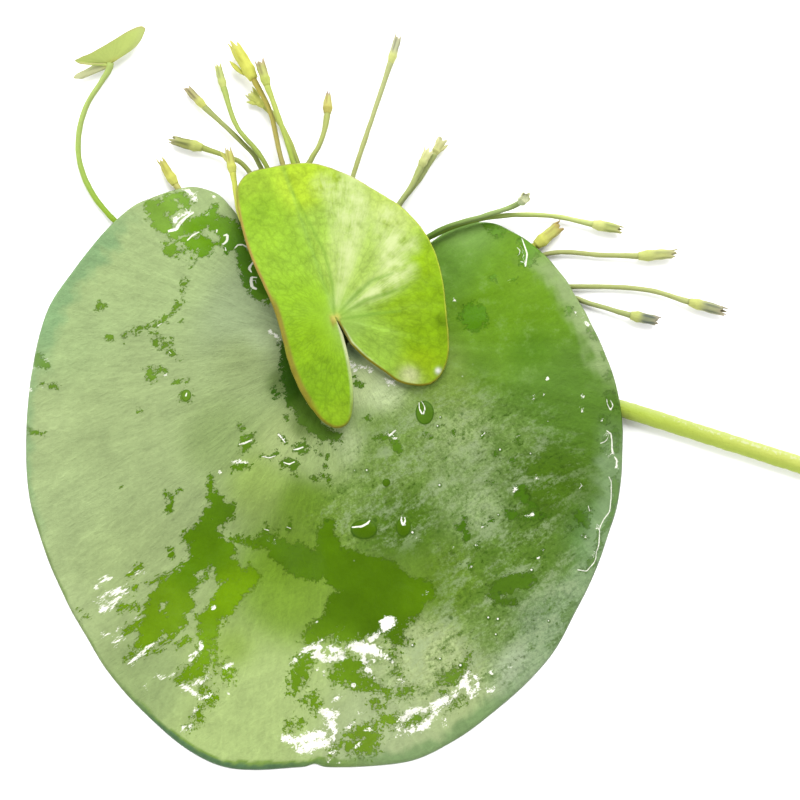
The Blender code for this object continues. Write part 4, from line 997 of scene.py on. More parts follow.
def ripple(seed, size, *places):
    """Smooth random waves round 0, whose hills are about `size` apart.

    It is the sum of plane waves with random directions and starts, scaled to a spread of 1.
    """
    draw = np.random.default_rng(seed)
    waves = draw.normal(size=(RIPPLE_WAVES, len(places))) * (math.pi / size)
    starts = draw.uniform(0, FULL_TURN, RIPPLE_WAVES)
    total = 0
    for wave, start in zip(waves, starts):
        total = total + np.cos(start + sum(pull * place for pull, place in zip(wave, places)))
    return total * math.sqrt(2 / RIPPLE_WAVES)


def ripples(waves, *places):
    """Ripples on top of each other, each given as its seed, size and weight."""
    return sum(ripple(seed, size, *places) * weight for seed, size, weight in waves)


def bell(off, spread):
    """1 where `off` is 0, falling to both sides as exp(-(off / spread)^2)."""
    return np.exp(-((off / spread) ** 2))


def paint(colour):
    """The paint that looks like this colour, 0 to 255, under the studio light."""
    seen = np.asarray(colour, float) / 255
    light = np.where(seen <= 0.04045, seen / 12.92, ((seen + 0.055) / 1.055) ** 2.4)
    return light / LIGHT_LEVEL


def chosen(colour):
    """The paint for a colour that the user chose, whose parts run from 0 to 1."""
    return paint(255 * np.array(colour))


def blended(below, above, share):
    """Paint `below` turning into paint `above` as the share goes from 0 to 1."""
    share = np.asarray(share)[..., None]
    return below * (1 - share) + above * share


def tinted(tints, x, y):
    """Colours that run into each other: each counts for less as the distance from it grows.

    Its weight is 1 / (1 + (distance / spread)^2)^3.
    """
    total = np.zeros((*x.shape, 3))
    weights = np.zeros(x.shape)
    for tint_x, tint_y, spread, colour in tints.values():
        weight = (1 + ((x - tint_x) ** 2 + (y - tint_y) ** 2) / spread**2) ** -3.0
        total += weight[..., None] * paint(colour)
        weights += weight
    return total / weights[..., None]


def beside(x, y, start, end):
    """Share of the way along the segment of the place nearest to each point, and how far it is."""
    run_x = end[0] - start[0]
    run_y = end[1] - start[1]
    length = max(run_x**2 + run_y**2, WELD)
    share = np.clip(((x - start[0]) * run_x + (y - start[1]) * run_y) / length, 0, 1)
    return share, np.hypot(x - start[0] - share * run_x, y - start[1] - share * run_y)


def segments(table):
    """The straight parts of all chains in the table. A chain of one place is a part as well."""
    for group in table.values():
        for chain in group:
            yield from zip(chain, chain[1:] or chain)


def stroke_depth(x, y, table):
    """How deep inside the table's strokes each place lies, in mm, and below 0 outside them.

    Along a segment the half width runs evenly from one end's to the other's, and the depth is
    that half width less the distance to the segment.
    """
    deepest = np.full_like(x, -FAR)
    for start, end in segments(table):
        share, away = beside(x, y, start, end)
        deepest = np.maximum(deepest, start[2] + (end[2] - start[2]) * share - away)
    return deepest


def line_marks(x, y, table):
    """For each place and the thin line nearest to it: its signed distance to the side, how far
    it lies beyond the line's end, which is below 0 beside the line, and the line's half width."""
    nearest = np.full_like(x, FAR)
    marks = np.zeros((*x.shape, 3))
    for start, end in segments(table):
        share, away = beside(x, y, start, end)
        length = math.hypot(end[0] - start[0], end[1] - start[1])
        ahead_x = (end[0] - start[0]) / length
        ahead_y = (end[1] - start[1]) / length
        along = (x - start[0]) * ahead_x + (y - start[1]) * ahead_y
        side = (x - start[0]) * ahead_y - (y - start[1]) * ahead_x
        beyond = np.maximum(np.maximum(-along, along - length), away - LINE_REACH)
        width = start[2] + (end[2] - start[2]) * share
        closer = away < nearest
        nearest = np.where(closer, away, nearest)
        marks = np.where(closer[..., None], np.dstack([side, beyond, width]), marks)
    return marks


def inside_drops(x, y):
    """1 in the middle of a drop, 0 on its outline and below 0 outside, and how high it stands."""
    inside = np.full_like(x, -1.0)
    height = np.zeros_like(x)
    for drop_x, drop_y, half_width, half_length in DROPS:
        reach = np.hypot((x - drop_x) / half_width, (y - drop_y) / half_length)
        inside = np.maximum(inside, 1 - reach)
        dome = DROP_STEEPNESS * half_width * np.sqrt(np.clip(1 - reach**2, 0, 1))
        height = np.maximum(height, dome)
    return inside, height


def border_distance(x, y, border):
    """How far each place is from the nearest side of the closed line round the leaf."""
    nearest = np.full_like(x, FAR)
    for start, end in zip(border, np.roll(border, -1, axis=0)):
        nearest = np.minimum(nearest, beside(x, y, start, end)[1])
    return nearest


def rounded(depth, reach):
    """A quarter of a circle from 0 at the border to 1 at `reach` from it."""
    return np.sqrt(1 - (1 - np.clip(depth / reach, 0, 1)) ** 2)


def fan_places(cells):
    """The parameters of a leaf that is open along its notch, as two arrays: across from -1 to 1
    and ahead from 0 to 1."""
    return np.meshgrid(np.arange(-cells, cells + 1) / cells, np.arange(cells + 1) / cells)


def fan_border(cells):
    """The parameters along the leaf's outline: out along the notch's right side, round the rim
    and back along the notch's left side."""
    out = np.arange(cells) / cells
    right = np.column_stack([out, 0 * out])
    up = np.column_stack([0 * out + 1, out])
    over = np.column_stack([1 - np.arange(2 * cells) / cells, np.ones(2 * cells)])
    down = np.column_stack([0 * out - 1, 1 - out])
    back = np.column_stack([out - 1, 0 * out])
    return np.vstack([right, up, over, down, back, right[:1]])


def fan_share(across, ahead):
    """The share of the way from the attachment to the rim, and the place along the rim.

    The share is the larger of the two parameters' sizes. The right side of their rectangle is
    the rim's first quarter, the far side its middle half and the left side its last quarter.
    """
    share = np.maximum(np.abs(across), ahead)
    size = np.maximum(share, WELD)
    sides = np.where(across > 0, ahead / size, 4 - ahead / size)
    return share, np.where(ahead >= np.abs(across), 2 - across / size, sides) / 4


def on_outline(across, ahead):
    """Whether each place of the fan is on the rim or on a side of the notch."""
    return (np.maximum(np.abs(across), ahead) >= 1) | (ahead <= 0)


def turn_off(direction, middle):
    """How far the directions are from the middle one, in degrees and 180 at most."""
    return np.abs((direction - middle + 180) % 360 - 180)


def along_rim(rim, place):
    """The rim's x, y and direction in degrees at these places along it."""
    ends = np.linspace(0, 1, len(rim))
    turns = np.degrees(np.unwrap(np.arctan2(rim[:, 1], rim[:, 0])))
    return [np.interp(place, ends, values) for values in (rim[:, 0], rim[:, 1], turns)]


def joined_mesh(name, sheets, fields):
    """One closed skin from sheets of places, whose common edges are welded.

    `sheets` are arrays of rows, columns and 3. Four neighbours make a face, or three where two
    of them are the same place. `fields` holds for each sheet its values, marks and colours by
    name, and "rays", the two numbers that patterns follow. All faces are turned outwards.
    """
    places = np.concatenate([sheet.reshape(-1, 3) for sheet in sheets])
    flat = {
        label: np.concatenate([each[label].reshape(-1, *each[label].shape[2:]) for each in fields])
        for label in fields[0]
    }
    corners = []
    start = 0
    for sheet in sheets:
        index = start + np.arange(sheet.shape[0] * sheet.shape[1]).reshape(sheet.shape[:2])
        cells = [index[:-1, :-1], index[:-1, 1:], index[1:, 1:], index[1:, :-1]]
        corners.append(np.stack(cells, axis=-1).reshape(-1, 4))
        start += index.size
    corners = np.concatenate(corners)
    _, first, welded = np.unique(
        np.round(places / WELD).astype(np.int64), axis=0, return_index=True, return_inverse=True
    )
    welded = welded.reshape(-1)
    shared = welded[corners] == welded[np.roll(corners, -1, axis=1)]
    count = shared.sum(axis=1)
    quads = corners[count == 0]
    pinched = corners[count == 1]
    triangles = pinched[~shared[count == 1]].reshape(-1, 3)
    thirds = np.concatenate([quads[:, [0, 1, 2]], quads[:, [0, 2, 3]], triangles])
    a, b, c = (places[thirds[:, i]] for i in range(3))
    if np.einsum("ij,ij->", a, np.cross(b, c)) < 0:
        quads = quads[:, ::-1]
        triangles = triangles[:, ::-1]

    mesh = bpy.data.meshes.new(name)
    faces = welded[quads].tolist() + welded[triangles].tolist()
    mesh.from_pydata(put(places[first]).tolist(), [], faces)
    mesh.shade_smooth()
    order = np.concatenate([quads.reshape(-1), triangles.reshape(-1)])
    rays = flat.pop("rays")[order]
    mesh.uv_layers.new(name="rays").data.foreach_set("uv", rays.astype(np.float32).reshape(-1))
    for label, values in flat.items():
        kind, part = ("FLOAT", "value") if values.ndim == 1 else ("FLOAT_COLOR", "color")
        if label in VECTOR_FIELDS:
            kind, part = "FLOAT_VECTOR", "vector"
        values = values[first]
        if part == "color":
            values = np.column_stack([values, np.ones(len(first))])
        made = mesh.attributes.new(label, kind, "POINT")
        made.data.foreach_set(part, values.astype(np.float32).reshape(-1))
    return mesh


def two_sided(name, front, back, fields):
    """A skin from two sheets whose outlines meet, and which carry the same fields."""
    mirrored = {label: values[:, ::-1] for label, values in fields.items()}
    return joined_mesh(name, [front, back[:, ::-1]], [fields, mirrored])


def added(name, data):
    """A new object in the scene."""
    made = bpy.data.objects.new(name, data)
    bpy.context.scene.collection.objects.link(made)
    return made


def add_piece(mesh, finish, slot, *nodes):
    """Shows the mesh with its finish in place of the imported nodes."""
    piece = added(mesh.name, mesh)
    mesh.materials.append(finish)
    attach(piece, "root")
    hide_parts(*nodes)


class Wire:
    """A socket whose sums are written as Python expressions, each of which adds a Math node."""

    def __init__(self, patterns, socket):
        self.patterns = patterns
        self.socket = socket

    def sum(self, operation, *values):
        return self.patterns.node("ShaderNodeMath", {"operation": operation}, dict(enumerate(values)))

    def __add__(self, other):
        return self.sum("ADD", self, other)

    __radd__ = __add__

    def __sub__(self, other):
        return self.sum("SUBTRACT", self, other)

    def __rsub__(self, other):
        return self.sum("SUBTRACT", other, self)

    def __mul__(self, other):
        return self.sum("MULTIPLY", self, other)

    __rmul__ = __mul__

    def __truediv__(self, other):
        return self.sum("DIVIDE", self, other)

    def __rtruediv__(self, other):
        return self.sum("DIVIDE", other, self)

    def __abs__(self):
        return self.sum("ABSOLUTE", self)

    def either(self, other):
        """The larger of the two."""
        return self.sum("MAXIMUM", self, other)

    def both(self, other):
        """The smaller of the two."""
        return self.sum("MINIMUM", self, other)


class Patterns:
    """A node tree in the making, with the few patterns that the plant and its studio need."""

    def __init__(self, tree):
        self.tree = tree

    def node(self, kind, settings=None, values=None, output=0):
        """Adds a node of this type, then makes its settings, then fills or links its sockets."""
        made = self.tree.nodes.new(kind)
        for label, value in (settings or {}).items():
            setattr(made, label, value)
        for label, value in (values or {}).items():
            self.feed(made.inputs[label], value)
        return Wire(self, made.outputs[output])

    def feed(self, socket, value):
        """Links a wire to the socket, or sets the socket's own value."""
        if isinstance(value, Wire):
            self.tree.links.new(value.socket, socket)
        else:
            socket.default_value = value

    def parts(self, vector):
        """The three numbers of a vector."""
        apart = self.node("ShaderNodeSeparateXYZ", None, {0: vector}).socket.node
        return [Wire(self, output) for output in apart.outputs]

    def step(self, value, low, high, start=0.0, end=1.0):
        """`start` up to `low`, `end` from `high` on, and a smooth climb between them."""
        values = {"Value": value, "From Min": low, "From Max": high, "To Min": start, "To Max": end}
        return self.node("ShaderNodeMapRange", {"interpolation_type": "SMOOTHSTEP"}, values)

    def vector(self, operation, *values):
        """Vector Math, on whole places."""
        return self.node("ShaderNodeVectorMath", {"operation": operation}, dict(enumerate(values)))

    def clouds(self, place, scale, detail=2, rough=0.5):
        """Clouds round 0, from about -0.5 to 0.5."""
        values = {"Vector": place, "Scale": scale, "Detail": detail, "Roughness": rough}
        return self.node("ShaderNodeTexNoise", None, values) - 0.5

    def blend(self, share, below, above, how="MIX"):
        """Colour `below` turning into colour `above` as the share goes from 0 to 1."""
        settings = {"data_type": "RGBA", "blend_type": how}
        below, above = (
            value if isinstance(value, Wire) else (*value, 1.0) for value in (below, above)
        )
        return self.node("ShaderNodeMix", settings, {0: share, 6: below, 7: above}, 2)


class Finish(Patterns):
    """A material in the making. `place` is the place on the piece in mm, and `rays` are the two
    numbers that patterns follow, such as the direction and the distance."""

    def __init__(self, name, gloss=0.5):
        self.material = bpy.data.materials.new(name)
        self.material.use_nodes = True
        super().__init__(self.material.node_tree)
        self.shader = self.tree.nodes["Principled BSDF"]
        self.shader.inputs["Specular IOR Level"].default_value = gloss
        place = self.node("ShaderNodeTexCoord", None, None, "Object")
        self.place = self.vector("MULTIPLY", place, (1 / MM, 1 / MM, 1 / MM))
        self.rays = self.node("ShaderNodeUVMap", {"uv_map": "rays"})

    def surface(self, colour, roughness, height=None, depth=0.0001):
        """Feeds the shader: the colour, the roughness and a bump of this depth in metres."""
        self.feed(self.shader.inputs["Base Color"], colour)
        self.feed(self.shader.inputs["Roughness"], roughness)
        if height is not None:
            values = {"Strength": 1.0, "Distance": depth, "Height": height}
            self.feed(self.shader.inputs["Normal"], self.node("ShaderNodeBump", None, values))
        return self.material

    def noise(self, scale, detail, rough=0.5):
        """Clouds, of which `scale` fit in a millimetre."""
        return self.clouds(self.place, scale, detail, rough)

    def ray_noise(self, across, along, detail, rough=0.5):
        """Clouds that follow the rays, this many in each unit across and along them."""
        return self.clouds(self.vector("MULTIPLY", self.rays, (across, along, 1)), 1, detail, rough)

    def brush_noise(self, turn, length, width, detail, rough):
        """Clouds that lie in this direction, in degrees, and are this long and wide, in mm."""
        values = {"Vector": self.place, "Rotation": (0, 0, math.radians(turn)), "Scale": (length, width, 1)}
        brushed = self.node("ShaderNodeMapping", {"vector_type": "TEXTURE"}, values)
        return self.clouds(brushed, 1, detail, rough)

    def beads(self, number, radius, shift=(0, 0, 0)):
        """1 on small round beads, of which some cells have one: `number` cells fit in a
        millimetre, the radius is a share of a cell, and the shift is in mm."""
        cells = {"Vector": self.vector("ADD", self.place, shift), "Scale": number}
        away = self.node("ShaderNodeTexVoronoi", None, cells)
        chance, size, _ = self.parts(self.node("ShaderNodeTexVoronoi", None, cells, "Color"))
        return self.step(away / (size + 0.4), radius, radius * 0.7) * self.step(chance, 0.5, 0.52)

    def carried(self, label, output="Fac"):
        """What the mesh carries by this name: a value, or its Color or Vector."""
        return self.node("ShaderNodeAttribute", {"attribute_name": label}, None, output)

    def grey(self, value):
        """A number as a grey."""
        return self.node("ShaderNodeCombineXYZ", None, dict.fromkeys(range(3), value))

    def toned(self, label, tone):
        """The colour that the mesh carries by this name, times a tone."""
        return self.blend(1.0, self.carried(label, "Color"), self.grey(tone), "MULTIPLY")


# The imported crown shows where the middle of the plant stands
CROWN_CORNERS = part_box("crown")
CROWN_PLACE = np.array([
    (CROWN_CORNERS[0].x + CROWN_CORNERS[1].x) / 2 / MM - CROWN_CENTRE[0],
    (CROWN_CORNERS[0].y + CROWN_CORNERS[1].y) / 2 / MM - CROWN_CENTRE[1],
    0,
])
BIG_LINE = polar_line(BIG_RIM, RIM_POINTS)
YOUNG_LINE = polar_line(YOUNG_RIM, RIM_POINTS)


def big_leaf_height(x, y, share, direction):
    """Height of the big leaf's underside.

    A low dome over the crown falls to an edge that rolls down, is propped up where stalks
    pass under it, waves a little and lies flat on the table round the rest patch.
    """
    edge = np.full_like(x, BIG_EDGE_HEIGHT)
    for middle, spread, height in BIG_PROPS:
        edge = edge + height * bell(turn_off(direction, middle), spread)
    dome = (BIG_CENTRE_HEIGHT - edge) * (1 - share**2) ** 2
    roll = BIG_EDGE_ROLL * share**BIG_ROLL_POWER
    turn = np.radians(direction)
    waves = sum(size * np.sin(count * turn + start) for count, start, size in BIG_WAVES)
    height = dome + edge - roll + waves * share**3
    away = np.hypot(x - REST_CENTRE[0], y - REST_CENTRE[1])
    blend = np.clip((away - REST_RADIUS) / (REST_BLEND - REST_RADIUS), 0, 1)
    return height * blend**2 * (3 - 2 * blend)


def big_leaf_outline(across, ahead):
    """x, y, share and direction of the big leaf's places.

    A place lies at its share of the way to the rim, which is drawn in a little by small waves
    and by one dent.
    """
    share, place = fan_share(across, ahead)
    rim_x, rim_y, direction = along_rim(BIG_LINE, place)
    reach = np.hypot(rim_x, rim_y)
    turn = np.radians(direction)
    wave = 0.5 + 0.25 * ripple(BIG_RIM_SEED, BIG_RIM_WAVE / BIG_REACH, np.cos(turn), np.sin(turn))
    middle, depth, spread = BIG_DENT
    dent = depth * bell(direction - middle, spread)
    drawn = 1 - (BIG_RIM_RIPPLE * wave + dent) * share**BIG_ROLL_POWER / reach
    return share * rim_x * drawn, share * rim_y * drawn, share, direction


def big_leaf_relief(x, y, share, direction, sizes):
    """Ridges that run outwards and small hills, both fading towards the rim, and the drops."""
    turn = np.radians(direction)
    ridges = sum(np.sin(count * turn + start) for count, start in BIG_RIDGES) / len(BIG_RIDGES)
    fade = ramp(*RIDGE_START, share) * ramp(*RIDGE_END, share)
    hills = ripples(BIG_HILLS, x, y)
    return fade * (sizes.ridges * ridges + sizes.hills * hills) / MM + inside_drops(x, y)[1]


def big_leaf_colours(x, y, direction, edge):
    """Dry and wet colours of the big leaf, with the bands that follow its rim: its own colour lines,
    painted shade and painted sheen.
    """
    dry = tinted(DRY_TINTS, x, y)
    wet = tinted(FILM_TINTS, x, y)
    rags = ripples(RIM_RAGS, x, y)
    # Rim bands: the rim's own colour lines, and painted shade, sheen and reflection
    for middle, spread, width, soft, colour in RIM_BANDS_SHADE_AND_SHEEN:
        ragged = edge + RIM_BAND_RAGS * rags * min(width / 3, 1)
        share = ramp(spread + RIM_BAND_FADE, spread - RIM_BAND_FADE, turn_off(direction, middle))
        share = RIM_BAND_STRENGTH * share * ramp(width + soft, width - soft, ragged)
        dry = blended(dry, paint(colour), share)
        wet = blended(wet, paint(colour), share / 2)
    return dry, wet


def big_leaf_fields(x, y, share, direction, edge):
    """What the big leaf's finish needs to know of each place."""
    film = stroke_depth(x, y, FILM_STROKES)
    for ring_x, ring_y, radius in RINGS:
        film = np.maximum(film, RING_WALL - np.abs(np.hypot(x - ring_x, y - ring_y) - radius))
    film = np.minimum(film, -stroke_depth(x, y, DRY_STROKES))
    dry, wet = big_leaf_colours(x, y, direction, edge)
    mottle = sum(
        ramp(*MOTTLE_EDGE, np.hypot((x - mid_x) / wide, (y - mid_y) / long))
        for mid_x, mid_y, wide, long in MOTTLED
    )
    calm_x, calm_y, calm_radius = CALM
    return {
        "film": np.clip(film, -FIELD_LIMIT, FIELD_LIMIT),
        "glint": np.clip(stroke_depth(x, y, GLINT_STROKES), -FIELD_LIMIT, FIELD_LIMIT),
        "thin": line_marks(x, y, GLINT_LINES),
        "drop": inside_drops(x, y)[0],
        "mottle": np.clip(mottle, 0, 1),
        "calm": ramp(*CALM_EDGE, np.hypot(x - calm_x, y - calm_y) / calm_radius),
        "dry": dry,
        "wet": wet,
        "rays": np.dstack([np.radians(direction), share * np.hypot(x, y) / np.maximum(share, WELD)]),
    }


def big_leaf_blade(sizes):
    """The big leaf: an upper sheet on a fine fan grid and a coarser underside.

    The upper side stands above the underside by the thickness, rounded off to nothing at the
    outline, plus the relief. The underside is made of loops that shrink from the outline to a
    point of the fan's rectangle.
    """
    loop = fan_border(BIG_CELLS)
    border = np.column_stack(big_leaf_outline(*loop[::BIG_BORDER_STEP].T)[:2])
    inwards = np.array(BIG_LOWER_RINGS)[:, None]
    low_across = loop[:, 0] * (1 - inwards)
    low_ahead = loop[:, 1] * (1 - inwards) + FAN_MIDDLE * inwards
    sheets, fields = [], []
    for top, places in ((1, fan_places(BIG_CELLS)), (0, (low_across[:, ::-1], low_ahead[:, ::-1]))):
        x, y, share, direction = big_leaf_outline(*places)
        z = big_leaf_height(x, y, share, direction)
        edge = border_distance(x, y, border)
        edge[on_outline(*places)] = 0
        if top:
            relief = big_leaf_relief(x, y, share, direction, sizes) * ramp(*BIG_RELIEF_START, edge)
            z = z + sizes.thickness / MM * rounded(edge, BIG_EDGE_ROUND) + relief
        sheets.append(np.dstack([x, y, z]))
        fields.append(big_leaf_fields(x, y, share, direction, edge))
    return joined_mesh("big_leaf_blade", sheets, fields)


def big_leaf_finish(colours):
    """Pale waxy skin with fine wrinkles that run outwards, and a darker glossy wet film on it.

    The film, its dry islands and the glints all end where their depth and ragged noise add up
    to 0. The mottled part has pale and dark patches and small drops with a bright spot.
    """
    finish = Finish("big leaf skin", 0.05)
    wide = finish.ray_noise(*WRINKLES)
    fine = finish.ray_noise(*FINE_WRINKLES)
    crease = finish.step(abs(finish.ray_noise(*CREASES)), 0.02, 0.0)
    cloud = finish.noise(*CLOUD)
    soft = finish.noise(*SOFT_CLOUD)
    grain = finish.noise(*GRAIN)
    streaks = finish.brush_noise(STREAK_TURN, *STREAKS)
    patches = finish.brush_noise(*PATCHES)
    mottle = finish.carried("mottle")
    calm = finish.carried("calm")
    drop = finish.carried("drop")

    across, along, _ = finish.parts(finish.place)
    left = finish.step(across, *STREAKED[0]) * finish.step(along, *STREAKED[1])
    low = finish.step(along, *BROKEN) * (1.0 - left)
    fray = finish.noise(*FRAY) * 6.0 + grain * (low * 5.0 + 2.6)
    fray = fray + streaks * (left * 2.6 + 2.6) + finish.noise(*FINE_FRAY) * low * 5.0
    bare = finish.step(finish.carried("film") + fray, -0.05, 0.07)
    spots = finish.step(grain + streaks * 0.9 + patches * 0.9, -0.2, -0.24) * mottle
    beads = finish.beads(BEADS, BEAD_RADIUS) * mottle
    wet = bare.either(spots).either(finish.step(drop, 0.0, 0.06))

    rough = 1.0 - calm * 0.7
    tone = grain * (mottle * 1.1 + 0.4) + streaks * (mottle * 0.6 + 0.3) + cloud * 0.3
    tone = 1.0 + tone + (wide * 0.4 + fine * 0.4 + crease * 0.07) * rough + soft * calm * 0.5
    dry = finish.toned("dry", tone)
    pale = finish.step(patches + grain * 0.35, -0.02, 0.15) * mottle * 0.6
    deep = finish.step(patches + grain * 0.35, 0.01, -0.13) * mottle * 0.6
    dry = finish.blend(pale, dry, paint(MOTTLE_PALE))
    dry = finish.blend(deep, dry, paint(MOTTLE_DEEP))
    dry = finish.blend(finish.step(soft, 0.02, 0.2) * calm * 0.4, dry, paint(HAZE))
    damp = finish.toned("wet", 1.0 + cloud * 0.6 + grain * 0.35 + fine * 0.15)
    colour = finish.blend(wet, dry, damp)
    # Painted shade in a ring along each drop's outline
    outline = finish.step(abs(drop - 0.1), 0.09, 0.03)
    colour = finish.blend(outline * 0.55, colour, chosen(colours.drop_outline))
    colour = finish.blend(beads * 0.7, colour, chosen(colours.drop_outline))

    side, beyond, width = finish.parts(finish.carried("thin", "Vector"))
    line = finish.step(width * (width * 2.0 + 0.35) - abs(side) + grain * 0.25, -0.03, 0.05)
    line = line * finish.step(beyond, 0.08, -0.08)
    flecks = finish.brush_noise(STREAK_TURN, *STREAKED_FLECKS) * (left + 0.7)
    flecks = flecks + finish.noise(*FLECKS) * (1.1 - left * 0.8) + grain * low * 0.9
    glint = finish.step(finish.carried("glint") * 0.9 + flecks * 2.9, 0.05, 0.2)
    spark = finish.beads(BEADS, SPARK_RADIUS, SPARK_SHIFT) * mottle
    glint = glint.either(spark).either(line * 0.9)
    colour = finish.blend(glint, colour, chosen(colours.glint) * GLINT_BRIGHTNESS)
    skin = wide * 0.5 + fine * 0.5 + streaks * 0.6
    height = wet * 0.25 + skin * (1 - wet * 0.9) * rough + grain * 0.35
    return finish.surface(colour, 0.5 - wet * 0.2 + grain * 0.1, height, BIG_BUMP)


def young_axes(x, y):
    """How far places are from the vein junction along the young leaf's midrib, and to its right."""
    turn = math.radians(YOUNG_MIDRIB_DIRECTION)
    return x * math.cos(turn) + y * math.sin(turn), x * math.sin(turn) - y * math.cos(turn)


def young_leaf_height(x, y):
    """Height of the young leaf above its vein junction, folded along its midrib.

    The left half climbs to its edge, the right half climbs and then bends down, and the tip
    and both lobes droop.
    """
    along, across = young_axes(x, y)
    left = np.maximum(-across, 0)
    right = np.maximum(across, 0)
    ahead = np.maximum(along, 0)
    behind = np.maximum(-along, 0)
    fold = YOUNG_LEFT_SLOPE * left + YOUNG_RIGHT_SLOPE * right
    bend = YOUNG_BEND * np.maximum(right - YOUNG_BEND_START, 0) ** 2
    lobe_droop = YOUNG_LOBE_DROOP + YOUNG_RIGHT_DROOP * np.clip(right / YOUNG_RIGHT_REACH, 0, 1)
    return fold - bend - YOUNG_TIP_DROOP * ahead**2 - lobe_droop * behind**2


def young_leaf_relief(x, y, sizes):
    """A groove along the midrib, folds that fan out over the right half, and small hills.

    The folds are waves of the direction from the vein junction. They grow from it and fade out
    again before the rim.
    """
    along, across = young_axes(x, y)
    groove = -YOUNG_GROOVE * bell(across, YOUNG_GROOVE_WIDTH) * ramp(*YOUNG_GROOVE_START, along)
    direction = np.arctan2(y, x)
    reach = np.hypot(x, y)
    folds = sum(np.sin(count * direction + start) for count, start in YOUNG_FOLDS) / len(YOUNG_FOLDS)
    fan = folds * ramp(*YOUNG_FOLD_START, reach) * ramp(*YOUNG_FOLD_END, reach)
    fan = fan * ramp(*YOUNG_FOLD_SIDE, across)
    hills = ripples(YOUNG_HILLS, x, y)
    return groove + (sizes.young_folds * fan + sizes.hills * hills) / MM


def margin_share(direction, middle, spread):
    """1 along the part of the young leaf's margin round the middle direction, 0 elsewhere."""
    return ramp(spread + YOUNG_MARGIN_FADE, spread - YOUNG_MARGIN_FADE, turn_off(direction, middle))


def young_leaf_fields(x, y, edge, direction):
    """Colours of the young leaf with its margins, how strongly its veins show, and its sheen."""
    from_crown = (x + YOUNG_PLACE[0], y + YOUNG_PLACE[1])
    colour = tinted(YOUNG_TINTS, *from_crown)
    veins = ramp(*YOUNG_VEIN_START, np.hypot(x, y))
    for middle, spread, width, shade in YOUNG_MARGINS:
        share = margin_share(direction, middle, spread)
        share = share * ramp(*(width * part for part in YOUNG_MARGIN_EDGE), edge)
        colour = blended(colour, paint(shade), share)
        veins = veins * (1 - share)
    along, across = young_axes(x, y)
    rib = bell(across, YOUNG_RIB_WIDTH) * ramp(*YOUNG_RIB_START, along)
    colour = blended(colour, paint(YOUNG_RIB), YOUNG_RIB_STRENGTH * rib)
    spot = bell(np.hypot(x, y), YOUNG_SPOT_WIDTH)
    return {
        "tint": blended(colour, paint(YOUNG_SPOT), spot),
        "veins": veins,
        "sheen": ramp(*YOUNG_SHEEN_EDGE, stroke_depth(*from_crown, YOUNG_SHEEN)),
        "crease": ramp(*YOUNG_CREASE_EDGE, stroke_depth(*from_crown, YOUNG_CREASES)),
    }


def young_leaf_blade(sizes):
    """The young leaf: two fan grids whose outlines meet, a thickness apart and rounded off.

    The left margin is turned: it is thicker and bends down a little.
    """
    share, place = fan_share(*fan_border(YOUNG_CELLS)[::YOUNG_BORDER_STEP].T)
    rim_x, rim_y, _ = along_rim(YOUNG_LINE, place)
    border = np.column_stack([share * rim_x, share * rim_y])
    across, ahead = fan_places(YOUNG_CELLS)
    share, place = fan_share(across, ahead)
    rim_x, rim_y, direction = along_rim(YOUNG_LINE, place)
    reach = np.hypot(rim_x, rim_y)
    wave = YOUNG_RIM_RIPPLE * (0.5 + 0.25 * ripple(*YOUNG_RIM_WAVES, rim_x, rim_y))
    drawn = 1 - wave * share**BIG_ROLL_POWER / reach
    x = share * rim_x * drawn
    y = share * rim_y * drawn
    edge = border_distance(x, y, border)
    edge[on_outline(across, ahead)] = 0
    lower = YOUNG_HEIGHT + young_leaf_height(x, y)
    thick = rounded(edge, YOUNG_EDGE_ROUND)
    middle, spread, width, depth = YOUNG_TURNED
    margin = margin_share(direction, middle, spread) * ramp(width, 0, edge)
    relief = young_leaf_relief(x, y, sizes) * ramp(*YOUNG_RELIEF_START, edge)
    upper = lower + sizes.young_thickness / MM * thick + relief
    lower = lower - depth * margin * thick
    fields = young_leaf_fields(x, y, edge, direction)
    fields["rays"] = np.dstack([np.radians(direction), share * reach])
    x = x + YOUNG_PLACE[0]
    y = y + YOUNG_PLACE[1]
    return two_sided("young_leaf_blade", np.dstack([x, y, upper]), np.dstack([x, y, lower]), fields)


def young_leaf_finish(colours):
    """Bright skin with a net of darker veins whose meshes are long in the direction of the
    rays, and a broad pale sheen on the right half."""
    finish = Finish("young leaf skin", 0.06)
    clouds = {"Vector": finish.place, "Scale": YOUNG_BENDS, "Detail": 2.0}
    bends = finish.node("ShaderNodeTexNoise", None, clouds, "Color")
    pulled = finish.vector("MULTIPLY", finish.rays, YOUNG_MESHES)
    bent = finish.vector("ADD", pulled, finish.vector("MULTIPLY", bends, YOUNG_BEND_SIZE))
    net, small = (
        finish.node(
            "ShaderNodeTexVoronoi", {"feature": "DISTANCE_TO_EDGE", "voronoi_dimensions": "2D"},
            {"Vector": bent, "Scale": scale}, "Distance"
        )
        for scale in YOUNG_NETS
    )
    vein = finish.step(net, 0.3, 0.0) * 0.65 + finish.step(small, 0.36, 0.0) * 0.35
    vein = vein * finish.carried("veins")
    fine = finish.ray_noise(*YOUNG_WRINKLES)
    cloud = finish.noise(*YOUNG_CLOUD)
    grain = finish.noise(*YOUNG_GRAIN)
    colour = finish.toned("tint", 1.06 - vein * 0.21 + cloud * 0.7 + fine * 0.25 + grain * 0.25)
    streaks = 0.66 + fine * 1.0 + cloud * 2.2 + finish.ray_noise(*YOUNG_SHEEN_STREAKS) * 1.4
    sheen = (finish.carried("sheen") * streaks).either(0.0).both(1.0)
    colour = finish.blend(sheen, colour, chosen(colours.young_sheen))
    # A darker line down the midrib, and painted shade in the creases between the folds
    colour = finish.blend(finish.carried("crease") * 0.6, colour, paint(YOUNG_CREASE_COLOUR))
    height = 0.6 - vein * 0.35 + fine * 0.5 + grain * 0.5
    return finish.surface(colour, 0.45 + grain * 0.1 + vein * 0.06, height, YOUNG_BUMP)


